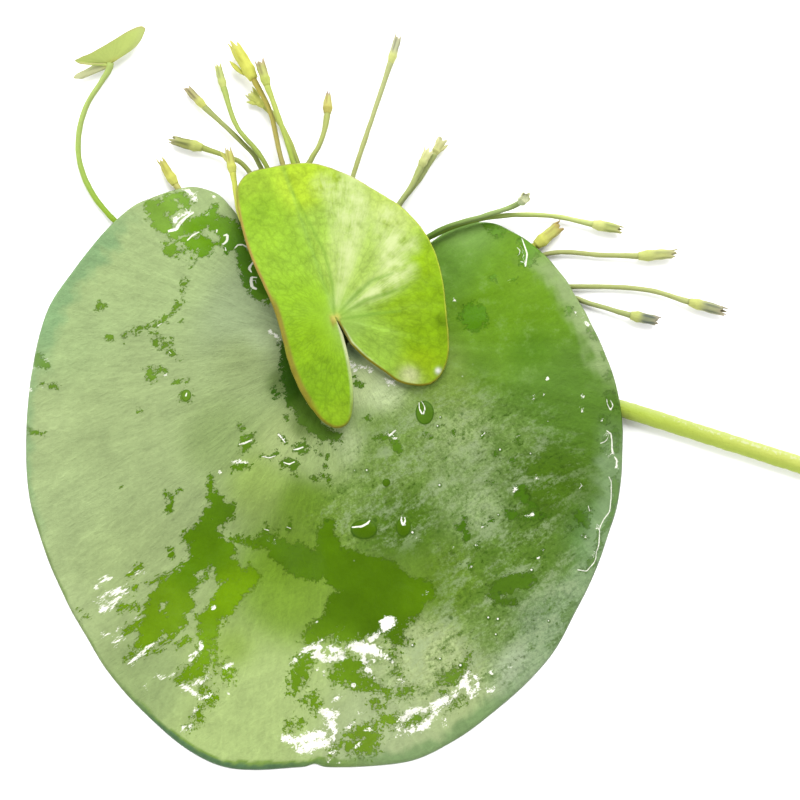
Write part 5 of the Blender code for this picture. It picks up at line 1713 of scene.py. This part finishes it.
def folded_leaf_blade(sizes):
    """Two halves that meet along a spine, which bows away from the straight line to the tip.

    A place lies at its share of the way from the notch to the rim line, plus the spine's bow,
    and the upper side stands off along the sheet's normals, rounded off at the outline.
    """
    rim = smooth_line(FOLDED_RIM, FOLDED_COLUMNS + 1)
    tip = rim[np.argmax(rim[:, 1])]
    near_spine = bell(np.linalg.norm(rim - tip, axis=1), FOLDED_SPINE_SPREAD)
    bow = np.array([tip[1], -tip[0], 0]) / math.hypot(tip[0], tip[1])
    share = (np.arange(FOLDED_ROWS + 1) / FOLDED_ROWS)[:, None, None]
    bulge = FOLDED_SPINE_BULGE * near_spine[:, None] * bow
    lower = np.array(FOLDED_PLACE) + share * rim + np.sin(math.pi * share**FOLDED_BULGE_SKEW) * bulge
    normals = np.cross(np.gradient(lower, axis=1), np.gradient(lower, axis=0))
    normals[0] = normals[1].mean(axis=0)
    normals /= np.maximum(np.linalg.norm(normals, axis=2, keepdims=True), WELD)
    column = np.arange(FOLDED_COLUMNS + 1) / FOLDED_COLUMNS
    column, spread = np.broadcast_arrays(column, share[:, :, 0])
    from_outline = np.minimum(1 - spread, np.minimum(column, 1 - column)) / FOLDED_EDGE_SHARE
    thick = rounded(from_outline, 1)
    vein = FOLDED_RELIEF * np.sin(FOLDED_VEINS * column * FULL_TURN) * np.sin(math.pi * spread)
    stand = sizes.folded_thickness / MM * thick + vein * thick
    skin, lower_half, notch, spine, rim_line = (paint(colour) for colour in FOLDED_COLOURS)
    colour = blended(skin, lower_half, ramp(*FOLDED_LOWER_START, column))
    colour = blended(colour, notch, ramp(*FOLDED_NOTCH_END, spread))
    width, strength = FOLDED_SPINE
    near_middle = bell(column - 0.5, width) * ramp(*FOLDED_SPINE_START, spread)
    colour = blended(colour, spine, strength * near_middle)
    colour = blended(colour, rim_line, ramp(*FOLDED_RIM_START, spread))
    fields = {"tint": colour, "rays": np.dstack([column * FOLDED_VEINS, spread])}
    return two_sided("folded_leaf_blade", lower, lower - normals * stand[..., None], fields)


def tube_sheet(line, radii, sides, upwards=(0, 0, 1)):
    """Rings of places round a line, drawn to a point at both ends, and the turn and length there.

    A ring's places are centre + radius * (cos(turn) * side + sin(turn) * top), where the side
    is square to the line and to `upwards`. `radii` is an array of rings and sides.
    """
    ahead = np.gradient(line, axis=0)
    ahead /= np.linalg.norm(ahead, axis=1, keepdims=True)
    side = np.cross(ahead, upwards)
    side /= np.linalg.norm(side, axis=1, keepdims=True)
    top = np.cross(side, ahead)
    turns = np.arange(sides) * FULL_TURN / sides
    out = np.cos(turns)[:, None] * side[:, None] + np.sin(turns)[:, None] * top[:, None]
    rings = line[:, None] + radii[..., None] * out
    rings = np.concatenate([rings, rings[:, :1]], axis=1)
    first = np.broadcast_to(line[:1, None], (1, sides + 1, 3))
    last = np.broadcast_to(line[-1:, None], (1, sides + 1, 3))
    length = np.pad(distances(line), 1, mode="edge")
    around = np.arange(sides + 1) * FULL_TURN / sides
    turn, far = np.meshgrid(around, length)
    return np.concatenate([first, rings, last]), turn, far


def lumpy(waves, count, sides, length):
    """Random bumps on a tube, as ripples of the place on its wall."""
    turns = np.arange(sides) * FULL_TURN / sides
    turn, far = np.meshgrid(turns, np.arange(count) * length / count)
    return ripples(waves, np.cos(turn), np.sin(turn), far)


def stem_skin(sizes):
    """The main stem: a tube a little wider than high, with small bumps."""
    line = smooth_line([(x, y, STEM_HEIGHT) for x, y in STEM_ROUTE], STEM_RINGS)
    length = distances(line)[-1]
    bumps = lumpy(STEM_LUMPS, STEM_RINGS, STEM_SIDES, length)
    radii = sizes.stem_radius / MM - STEM_INSET + STEM_BUMPS * np.clip(bumps, -1, 1)
    sideways = np.cos(np.arange(STEM_SIDES) * FULL_TURN / STEM_SIDES) ** 2
    sheet, turn, far = tube_sheet(line, radii * (1 + STEM_WIDENING * sideways), STEM_SIDES)
    root, end, shaded_side, lit_side = (paint(colour) for colour in STEM_COLOURS)
    colour = blended(root, end, ramp(*STEM_TURN, far))
    # Painted shade on the lower side and painted light on the upper side
    for side, share, (start, full, strength) in (
        (shaded_side, np.cos(turn), STEM_SHADED_SIDE), (lit_side, -np.cos(turn), STEM_LIT_SIDE)
    ):
        colour = blended(colour, side, strength * ramp(start, full, share))
    # Where the painted glints along the top go, and how strong they are
    middle, spread = STEM_GLINT
    near, more = STEM_GLINT_STRENGTH
    top = bell(turn - middle, spread) * (near + more * ramp(*STEM_GLINT_TURN, far))
    fields = {"tint": colour, "top": top, "rays": np.dstack([turn, far])}
    return joined_mesh("stem_skin", [sheet], [fields])


def stem_finish(colours):
    """Pale fleshy skin with fine fibres along it and small bright glints along its top."""
    finish = Finish("stem skin", 0.1)
    fibres = finish.ray_noise(*STEM_FIBRES)
    spots = finish.ray_noise(*STEM_SPOTS)
    grain = finish.noise(*STEM_GRAIN)
    colour = finish.toned("tint", 1.0 + fibres * 0.16 + grain * 0.12)
    glint = finish.step(spots + finish.carried("top") * 0.34, 0.27, 0.42)
    colour = finish.blend(glint * 0.6, colour, chosen(colours.stem_glint))
    height = spots * 0.8 + fibres * 0.4 + grain * 0.2
    return finish.surface(colour, 0.34 - glint * 0.1 + grain * 0.1, height, STEM_BUMP)


def crown_knot():
    """The knot under the leaves, whose side follows a flattened circle and is a little lumpy."""
    middle = (CROWN_TOP + CROWN_BOTTOM) / 2
    half = (CROWN_TOP - CROWN_BOTTOM) / 2
    level = np.sin(np.linspace(-math.pi / 2, math.pi / 2, CROWN_ROWS))
    turn, level = np.meshgrid(np.arange(CROWN_COLUMNS) * FULL_TURN / CROWN_COLUMNS, level)
    radius = CROWN_RADIUS * np.sqrt(1 - np.abs(level) ** CROWN_SQUARENESS)
    lumps = ripple(CROWN_SEED, CROWN_LUMP_SIZE, np.cos(turn), np.sin(turn), level)
    radius = radius * (1 - CROWN_LUMPS * (0.5 + 0.25 * lumps))
    x = CROWN_CENTRE[0] + radius * np.cos(turn)
    y = CROWN_CENTRE[1] + radius * np.sin(turn)
    sheet = np.dstack([x, y, middle + half * level])
    sheet = np.concatenate([sheet, sheet[:, :1]], axis=1)
    sheet[0, :] = (*CROWN_CENTRE, CROWN_BOTTOM)
    sheet[-1, :] = (*CROWN_CENTRE, CROWN_TOP)
    around = np.arange(CROWN_COLUMNS + 1) * FULL_TURN / CROWN_COLUMNS
    rays = np.dstack(np.meshgrid(around, np.arange(CROWN_ROWS) * CROWN_RAY_STEP))
    shade = np.broadcast_to(paint(CROWN_COLOUR), sheet.shape)
    return joined_mesh("crown_knot", [sheet], [{"tint": shade, "rays": rays}])


def stalk_mesh(name, route, radius, colours, seed, end_swell=0.0, upwards=(0, 0, 1)):
    """A slim stalk whose thickness wavers a little and whose colour turns into another on its
    way. Its shaded side is the one away from the notch."""
    line = smooth_line(route, STALK_RINGS)
    length = distances(line)[-1]
    waves = ((seed, STALK_WAVE, 1),)
    swell = 1 - STALK_WAVER * (0.5 + 0.25 * lumpy(waves, STALK_RINGS, STALK_SIDES, length))
    to_end = np.linspace(length, 0, STALK_RINGS)[:, None]
    swell = swell * (1 + end_swell * ramp(STALK_SWELL_LENGTH, 0, to_end))
    sheet, turn, far = tube_sheet(line, radius / MM * swell, STALK_SIDES, upwards)
    colour = blended(paint(colours[0]), paint(colours[1]), ramp(*STALK_TURN, far / length))
    shade = ramp(*STALK_SHADE_START, np.cos(turn)) * STALK_SHADE
    colour = colour * (1 - shade[..., None])
    return joined_mesh(name, [sheet], [{"tint": colour, "rays": np.dstack([turn, far])}])


def crown_side(direction, height):
    """The place on the crown's side in this direction, just below its skin."""
    turn = math.radians(direction)
    reach = CROWN_RADIUS * STALK_ROOT
    return (CROWN_CENTRE[0] + reach * math.cos(turn), CROWN_CENTRE[1] + reach * math.sin(turn), height)


def loose_sepal(base, tip, width):
    """The sheet of a small flat blade that swells from its base and comes to a point.

    Its half width is the sine of the share of the way, and its section is an ellipse.
    """
    line = smooth_line((base, tip), SEPAL_RINGS)
    along = np.linspace(0.02, 0.98, SEPAL_RINGS)[:, None]
    turns = np.arange(SEPAL_SIDES) * FULL_TURN / SEPAL_SIDES
    section = 1 / np.hypot(np.cos(turns), np.sin(turns) / SEPAL_FLATNESS)
    sheet, turn, far = tube_sheet(line, width / 2 * np.sin(math.pi * along) * section, SEPAL_SIDES)
    return sheet, np.dstack([turn, far])


def bud_mesh(name, base, tip, width, opening, colours, seed, loose=()):
    """A bud: a swollen base and pointed sepals that stand apart at their tips.

    Outside, the height runs from the base to the sepals' edge, which is high where the cosine
    of the turn peaks, once for each sepal. The radius follows the outline with a rib down each
    sepal. Inside, the wall comes back down to a floor. Each sepal leans its own way.
    """
    axis = tip - base
    columns = np.arange(BUD_COLUMNS + 1) % BUD_COLUMNS * FULL_TURN / BUD_COLUMNS
    wave = np.cos(BUD_SEPALS * columns)
    point = ((1 + wave) / 2) ** BUD_POINT
    draw = np.random.default_rng(seed)
    near = (np.round(columns / FULL_TURN * BUD_SEPALS) % BUD_SEPALS).astype(int)
    reach = 1 - BUD_SHORTENING * draw.random(BUD_SEPALS)
    lean = draw.uniform(*BUD_LEAN, BUD_SEPALS)
    reach[0] = 1
    edge = BUD_NOTCH + (reach[near] - BUD_NOTCH) * point
    outside = np.linspace(0, 1, BUD_ROWS)[:, None] * edge
    inside = BUD_FLOOR + (edge - BUD_FLOOR) * np.linspace(1, 0, BUD_INNER_ROWS)[:, None]
    heights = np.concatenate([outside, inside])
    outline = np.array(BUD_OUTLINE)
    size = np.interp(heights, outline[:, 0], outline[:, 1] + opening * np.array(BUD_OPEN))
    free = ramp(BUD_NOTCH, 1, heights)
    size = size * (1 + BUD_RIBS * wave * ramp(*BUD_RIB_START, heights)) * (1 + lean[near] * free)
    round_it = (size * np.cos(columns), size * np.sin(columns), heights * BUD_CRUMPLE_STRETCH)
    crumple = ripple(seed, BUD_CRUMPLE_SIZE, *round_it) * ramp(*BUD_CRUMPLE_START, heights)
    size = size * (1 + BUD_CRUMPLE * crumple)
    wall = np.zeros((len(heights), 1))
    wall[BUD_ROWS:, 0] = BUD_WALL * ramp(*BUD_WALL_START, np.linspace(0, 1, BUD_INNER_ROWS))
    size = np.maximum(size - wall, 0) * (1 - BUD_NARROWING * free * (1 - point))
    size[[0, -1]] = 0
    heights[0] = 0
    heights[-1] = BUD_FLOOR
    radius = width / 2 * size
    local = np.dstack([radius * np.cos(columns), radius * np.sin(columns), heights * axis.length])
    turn = np.array(axis.to_track_quat("Z", "Y").to_matrix())
    sheet = local @ turn.T + np.array(base)
    sheet[:, -1] = sheet[:, 0]
    *_, strength = colours
    swollen, sepal, tips, streak = (paint(colour) for colour in colours[:-1])
    shade = blended(swollen, sepal, ramp(*BUD_SEPAL_START, heights))
    shade = blended(shade, tips, ramp(*BUD_TIP_START, heights))
    line = bell(1 - point, BUD_STREAK_WIDTH) * ramp(*BUD_STREAK_START, heights)
    line = line * ramp(*BUD_STREAK_END, heights)
    shade = blended(shade, streak, strength * line)
    # Painted shade inside the bud
    shade[BUD_ROWS:] *= 1 - BUD_SHADE
    rays = np.dstack([np.broadcast_to(columns, heights.shape), heights * axis.length])
    sheets, fields = [sheet], [{"tint": shade, "rays": rays}]
    for parts in loose:
        sheet, rays = loose_sepal(*parts)
        sheets.append(sheet)
        fields.append({"tint": np.broadcast_to(sepal, sheet.shape), "rays": rays})
    return joined_mesh(name, sheets, fields)


def soft_finish(name, fibres, strength, roughness, bump):
    """The skin of stalks and buds: the mesh's colours with fine fibres along them."""
    finish = Finish(name, 0.06)
    along = finish.ray_noise(*fibres)
    grain = finish.noise(*SOFT_GRAIN)
    colour = finish.toned("tint", 1.0 + along * strength + grain * strength * 0.8)
    return finish.surface(colour, roughness + grain * 0.15, along * 0.8 + grain * 0.5, bump)


def folded_leaf_finish():
    """Pale skin with veins that run from the notch to the rim."""
    finish = Finish("folded leaf skin", 0.06)
    veins = finish.ray_noise(*FOLDED_FIBRES)
    grain = finish.noise(*FOLDED_GRAIN)
    colour = finish.toned("tint", 1.0 + veins * 0.2 + grain * 0.14)
    return finish.surface(colour, 0.42 + grain * 0.1, veins + grain * 0.3, FOLDED_BUMP)


def stalk_finish():
    """The skin that all stalks share, made once."""
    return bpy.data.materials.get("stalk skin") or soft_finish("stalk skin", *STALK_SKIN)


def sky():
    """Soft white light from all round, dim overhead so that wet surfaces look dark."""
    world = bpy.data.worlds.new("soft studio")
    world.use_nodes = True
    bpy.context.scene.world = world
    studio = bpy.context.scene.plant_studio
    patterns = Patterns(world.node_tree)
    _, _, up = patterns.parts(patterns.node("ShaderNodeTexCoord", None, None, "Generated"))
    strength = patterns.step(up, *SKY_CLIMB, studio.round_light, studio.overhead_light)
    background = world.node_tree.nodes["Background"]
    patterns.feed(background.inputs["Color"], (1, 1, 1, 1))
    patterns.feed(background.inputs["Strength"], strength)


def lamp(name, place, size, watts):
    """A square area light at the place, in mm from the crown, that points at the crown."""
    data = bpy.data.lights.new(name, "AREA")
    data.size = size
    data.energy = watts
    made = added(name, data)
    made.location = put(place)
    made.rotation_euler = Vector(place).to_track_quat("Z", "Y").to_euler()


def number_property(name, description, default, low, high, **kind):
    """A number that a user may change between two limits."""
    return bpy.props.FloatProperty(
        name=name, description=description, default=default, min=low, max=high, **kind
    )


def length_property(name, description, default, low, high):
    """A length whose default and limits are given in mm."""
    limits = (default * MM, low * MM, high * MM)
    return number_property(name, description, *limits, precision=5, unit="LENGTH")


class PlantSizes(bpy.types.PropertyGroup):
    """Sizes of the plant that a user may change."""

    thickness: length_property(
        "Big leaf thickness", "Thickness of the big leaf's blade", 0.6, 0.2, 1.2
    )
    young_thickness: length_property(
        "Young leaf thickness", "Thickness of the young leaf's blade", 0.45, 0.2, 0.9
    )
    folded_thickness: length_property(
        "Folded leaf thickness", "Thickness of the folded leaf's blade", 0.4, 0.2, 0.6
    )
    ridges: length_property(
        "Ridges", "Height of the ridges that run outwards on the big leaf", 0.16, 0, 0.5
    )
    hills: length_property(
        "Hills", "Height of the small hills on both open leaves", 0.07, 0, 0.3
    )
    young_folds: length_property(
        "Young leaf folds", "Height of the folds on the young leaf's right half", 0.2, 0, 0.5
    )
    stem_radius: length_property(
        "Stem radius", "Radius of the main stem", STEM_RADIUS, 0.8, 3
    )
    stalk_radius: length_property(
        "Flower stalk radius", "Radius of the flower stalks", STALK_RADIUS, 0.2, 1
    )
    young_stalk_radius: length_property(
        "Young leaf's stalk radius", "Radius of the short stalk of the young leaf", 0.8, 0.4, 1.5
    )
    folded_stalk_radius: length_property(
        "Folded leaf's stalk radius", "Radius of the long stalk of the folded leaf", 0.62, 0.3, 1
    )


def colour_property(name, description, colour):
    """A colour as it is seen on the screen."""
    return bpy.props.FloatVectorProperty(
        name=name, description=description, default=[part / 255 for part in colour],
        size=3, min=0, max=1, subtype="COLOR_GAMMA",
    )


class PlantColours(bpy.types.PropertyGroup):
    """Colours of the plant that a user may change."""

    glint: colour_property("Glints", "Bright spots where the wet film shines", (246, 246, 232))
    drop_outline: colour_property("Drop outlines", "The darker line round a drop", (66, 104, 20))
    young_sheen: colour_property("Young leaf's sheen", "Pale shine on the young leaf", (230, 245, 170))
    stem_glint: colour_property("Stem's glints", "Bright spots along the main stem", (242, 246, 206))


class PlantStudio(bpy.types.PropertyGroup):
    """The camera and the light."""

    elevation: number_property(
        "Camera elevation", "Angle of the camera above the table",
        math.radians(82), 0, math.pi / 2, subtype="ANGLE",
    )
    distance: number_property(
        "Camera distance", "Distance from the camera to what it looks at",
        444.4 * MM, 0.1, 2, precision=4, unit="LENGTH",
    )
    lens: number_property(
        "Focal length", "Focal length of the camera in mm", 100, 20, 200, unit="CAMERA"
    )
    key_light: number_property(
        "Main light", "Strength of the large light beyond the plant", 103.0, 0, 400, unit="POWER"
    )
    fill_light: number_property(
        "Side light", "Strength of the light from the left", 27.0, 0, 400, unit="POWER"
    )
    round_light: number_property(
        "Light from all round", "Brightness of the sky near the horizon", 1.95, 0, 5
    )
    overhead_light: number_property(
        "Light from overhead", "Brightness of the sky overhead", 0.2, 0, 5
    )


class PLANT_OT_stage(bpy.types.Operator):
    """Sets up the camera, the light and the floor"""

    bl_idname = "plant.stage"
    bl_label = "Studio"

    def execute(self, context):
        studio = context.scene.plant_studio
        away = Vector((0, -math.cos(studio.elevation), math.sin(studio.elevation)))
        upright = Vector((0, math.sin(studio.elevation), math.cos(studio.elevation)))
        turn = Matrix((Vector((1, 0, 0)), upright, away)).transposed()
        data = bpy.data.cameras.new("photo view")
        data.lens = studio.lens
        data.sensor_width = SENSOR
        camera = added("photo view", data)
        aim = Vector(put(CAMERA_AIM))
        camera.matrix_world = Matrix.Translation(aim + studio.distance * away) @ turn.to_4x4()
        context.scene.camera = camera
        context.scene.view_settings.view_transform = "Standard"
        sky()
        lamp(*MAIN_LIGHT, studio.key_light)
        lamp(*SIDE_LIGHT, studio.fill_light)

        steps = np.linspace(-FLOOR_HALF, FLOOR_HALF, FLOOR_CELLS + 1)
        x, y = np.meshgrid(steps, steps)
        index = np.arange(x.size).reshape(x.shape)
        cells = np.dstack([index[:-1, :-1], index[:-1, 1:], index[1:, 1:], index[1:, :-1]])
        mesh = bpy.data.meshes.new("floor")
        corners = np.dstack([x, y, np.full_like(x, -FLOOR_DROP)])
        mesh.from_pydata(corners.reshape(-1, 3).tolist(), [], cells.reshape(-1, 4).tolist())
        finish = Finish("white table")
        bright, change, clouds = FLOOR_SHADE
        shade = bright + finish.noise(clouds, 1) * change
        mesh.materials.append(finish.surface(finish.grey(shade), 0.8))
        floor = added("floor", mesh)
        return {"FINISHED"}


class PLANT_OT_big_leaf(bpy.types.Operator):
    """Makes the big round leaf with its wet film and drops"""

    bl_idname = "plant.big_leaf"
    bl_label = "Big leaf"

    def execute(self, context):
        mesh = big_leaf_blade(context.scene.plant_sizes)
        add_piece(mesh, big_leaf_finish(context.scene.plant_colours), "big_leaf", "big_leaf")
        return {"FINISHED"}


class PLANT_OT_young_leaf(bpy.types.Operator):
    """Makes the bright young leaf and its short stalk"""

    bl_idname = "plant.young_leaf"
    bl_label = "Young leaf"

    def execute(self, context):
        sizes = context.scene.plant_sizes
        mesh = young_leaf_blade(sizes)
        add_piece(mesh, young_leaf_finish(context.scene.plant_colours), "young_leaf", "young_leaf")
        stalk = stalk_mesh(
            "young_leaf_stem", YOUNG_STALK_ROUTE, sizes.young_stalk_radius, YOUNG_STALK_COLOURS,
            STALK_SEED, 0.0, (0, 1, 0),
        )
        add_piece(stalk, stalk_finish(), "stalk", "young_leaf_stalk")
        return {"FINISHED"}


class PLANT_OT_folded_leaf(bpy.types.Operator):
    """Makes the small folded leaf and its long curled stalk"""

    bl_idname = "plant.folded_leaf"
    bl_label = "Folded leaf"

    def execute(self, context):
        sizes = context.scene.plant_sizes
        add_piece(folded_leaf_blade(sizes), folded_leaf_finish(), "folded_leaf", "folded_leaf")
        stalk = stalk_mesh(
            "folded_leaf_stem", FOLDED_STALK_ROUTE, sizes.folded_stalk_radius, FOLDED_STALK_COLOURS,
            STALK_SEED + 1, FOLDED_STALK_SWELL,
        )
        add_piece(stalk, stalk_finish(), "stalk", "folded_leaf_stalk")
        return {"FINISHED"}


class PLANT_OT_stem(bpy.types.Operator):
    """Makes the thick main stem and the crown"""

    bl_idname = "plant.stem"
    bl_label = "Stem and crown"

    def execute(self, context):
        mesh = stem_skin(context.scene.plant_sizes)
        add_piece(mesh, stem_finish(context.scene.plant_colours), "main_stem", "main_stem")
        add_piece(crown_knot(), stalk_finish(), "crown", "crown")
        return {"FINISHED"}


class PLANT_OT_flowers(bpy.types.Operator):
    """Makes the fan of flower stalks and their buds"""

    bl_idname = "plant.flowers"
    bl_label = "Flower stalks and buds"

    def execute(self, context):
        radius = context.scene.plant_sizes.stalk_radius
        bud_skin = soft_finish("bud skin", *BUD_SKIN)
        for number, (flower, colours) in enumerate(zip(FLOWERS, FLOWER_COLOURS), 1):
            direction, height, route, base, tip, width, opening = flower
            base, tip = Vector(base), Vector(tip)
            end = base + BUD_SINK * (tip - base).normalized()
            line = [crown_side(direction, height), *route, tuple(end)]
            seed = STALK_SEED + 1 + number
            name = f"stalk_{number:02d}"
            stalk = stalk_mesh(name, line, radius, colours[:2], seed, FLOWER_STALK_SWELL)
            add_piece(stalk, stalk_finish(), "stalk", f"flower_stalk_{number:02d}")
            seed = BUD_SEED + number
            name = f"bud_{number:02d}"
            loose = LOOSE_SEPALS.get(number, ())
            bud = bud_mesh(name, base, tip, width, opening, colours[2:], seed, loose)
            add_piece(bud, bud_skin, "bud", f"flower_bud_{number:02d}")
        return {"FINISHED"}


class PLANT_PT_panel(bpy.types.Panel):
    """Lists the plant's operators and settings"""

    bl_idname = "PLANT_PT_panel"
    bl_label = "Water plant"
    bl_space_type = "VIEW_3D"
    bl_region_type = "UI"
    bl_category = "Water plant"

    def draw(self, context):
        for operator in OPERATORS:
            self.layout.operator(operator.bl_idname)
        for group_name in GROUPS:
            group = getattr(context.scene, group_name)
            box = self.layout.box()
            for label in group.__annotations__:
                box.prop(group, label)


OPERATORS = (
    PLANT_OT_stage, PLANT_OT_stem, PLANT_OT_big_leaf, PLANT_OT_young_leaf, PLANT_OT_folded_leaf,
    PLANT_OT_flowers,
)
GROUPS = {"plant_sizes": PlantSizes, "plant_colours": PlantColours, "plant_studio": PlantStudio}


def register():
    for made in (*GROUPS.values(), *OPERATORS, PLANT_PT_panel):
        bpy.utils.register_class(made)
    for label, group in GROUPS.items():
        setattr(bpy.types.Scene, label, bpy.props.PointerProperty(type=group))


def unregister():
    for label in GROUPS:
        delattr(bpy.types.Scene, label)
    for made in (PLANT_PT_panel, *reversed(OPERATORS), *GROUPS.values()):
        bpy.utils.unregister_class(made)


def main():
    register()
    bpy.ops.plant.stage()
    bpy.ops.plant.stem()
    bpy.ops.plant.big_leaf()
    bpy.ops.plant.young_leaf()
    bpy.ops.plant.folded_leaf()
    bpy.ops.plant.flowers()


if __name__ == "__main__":
    main()
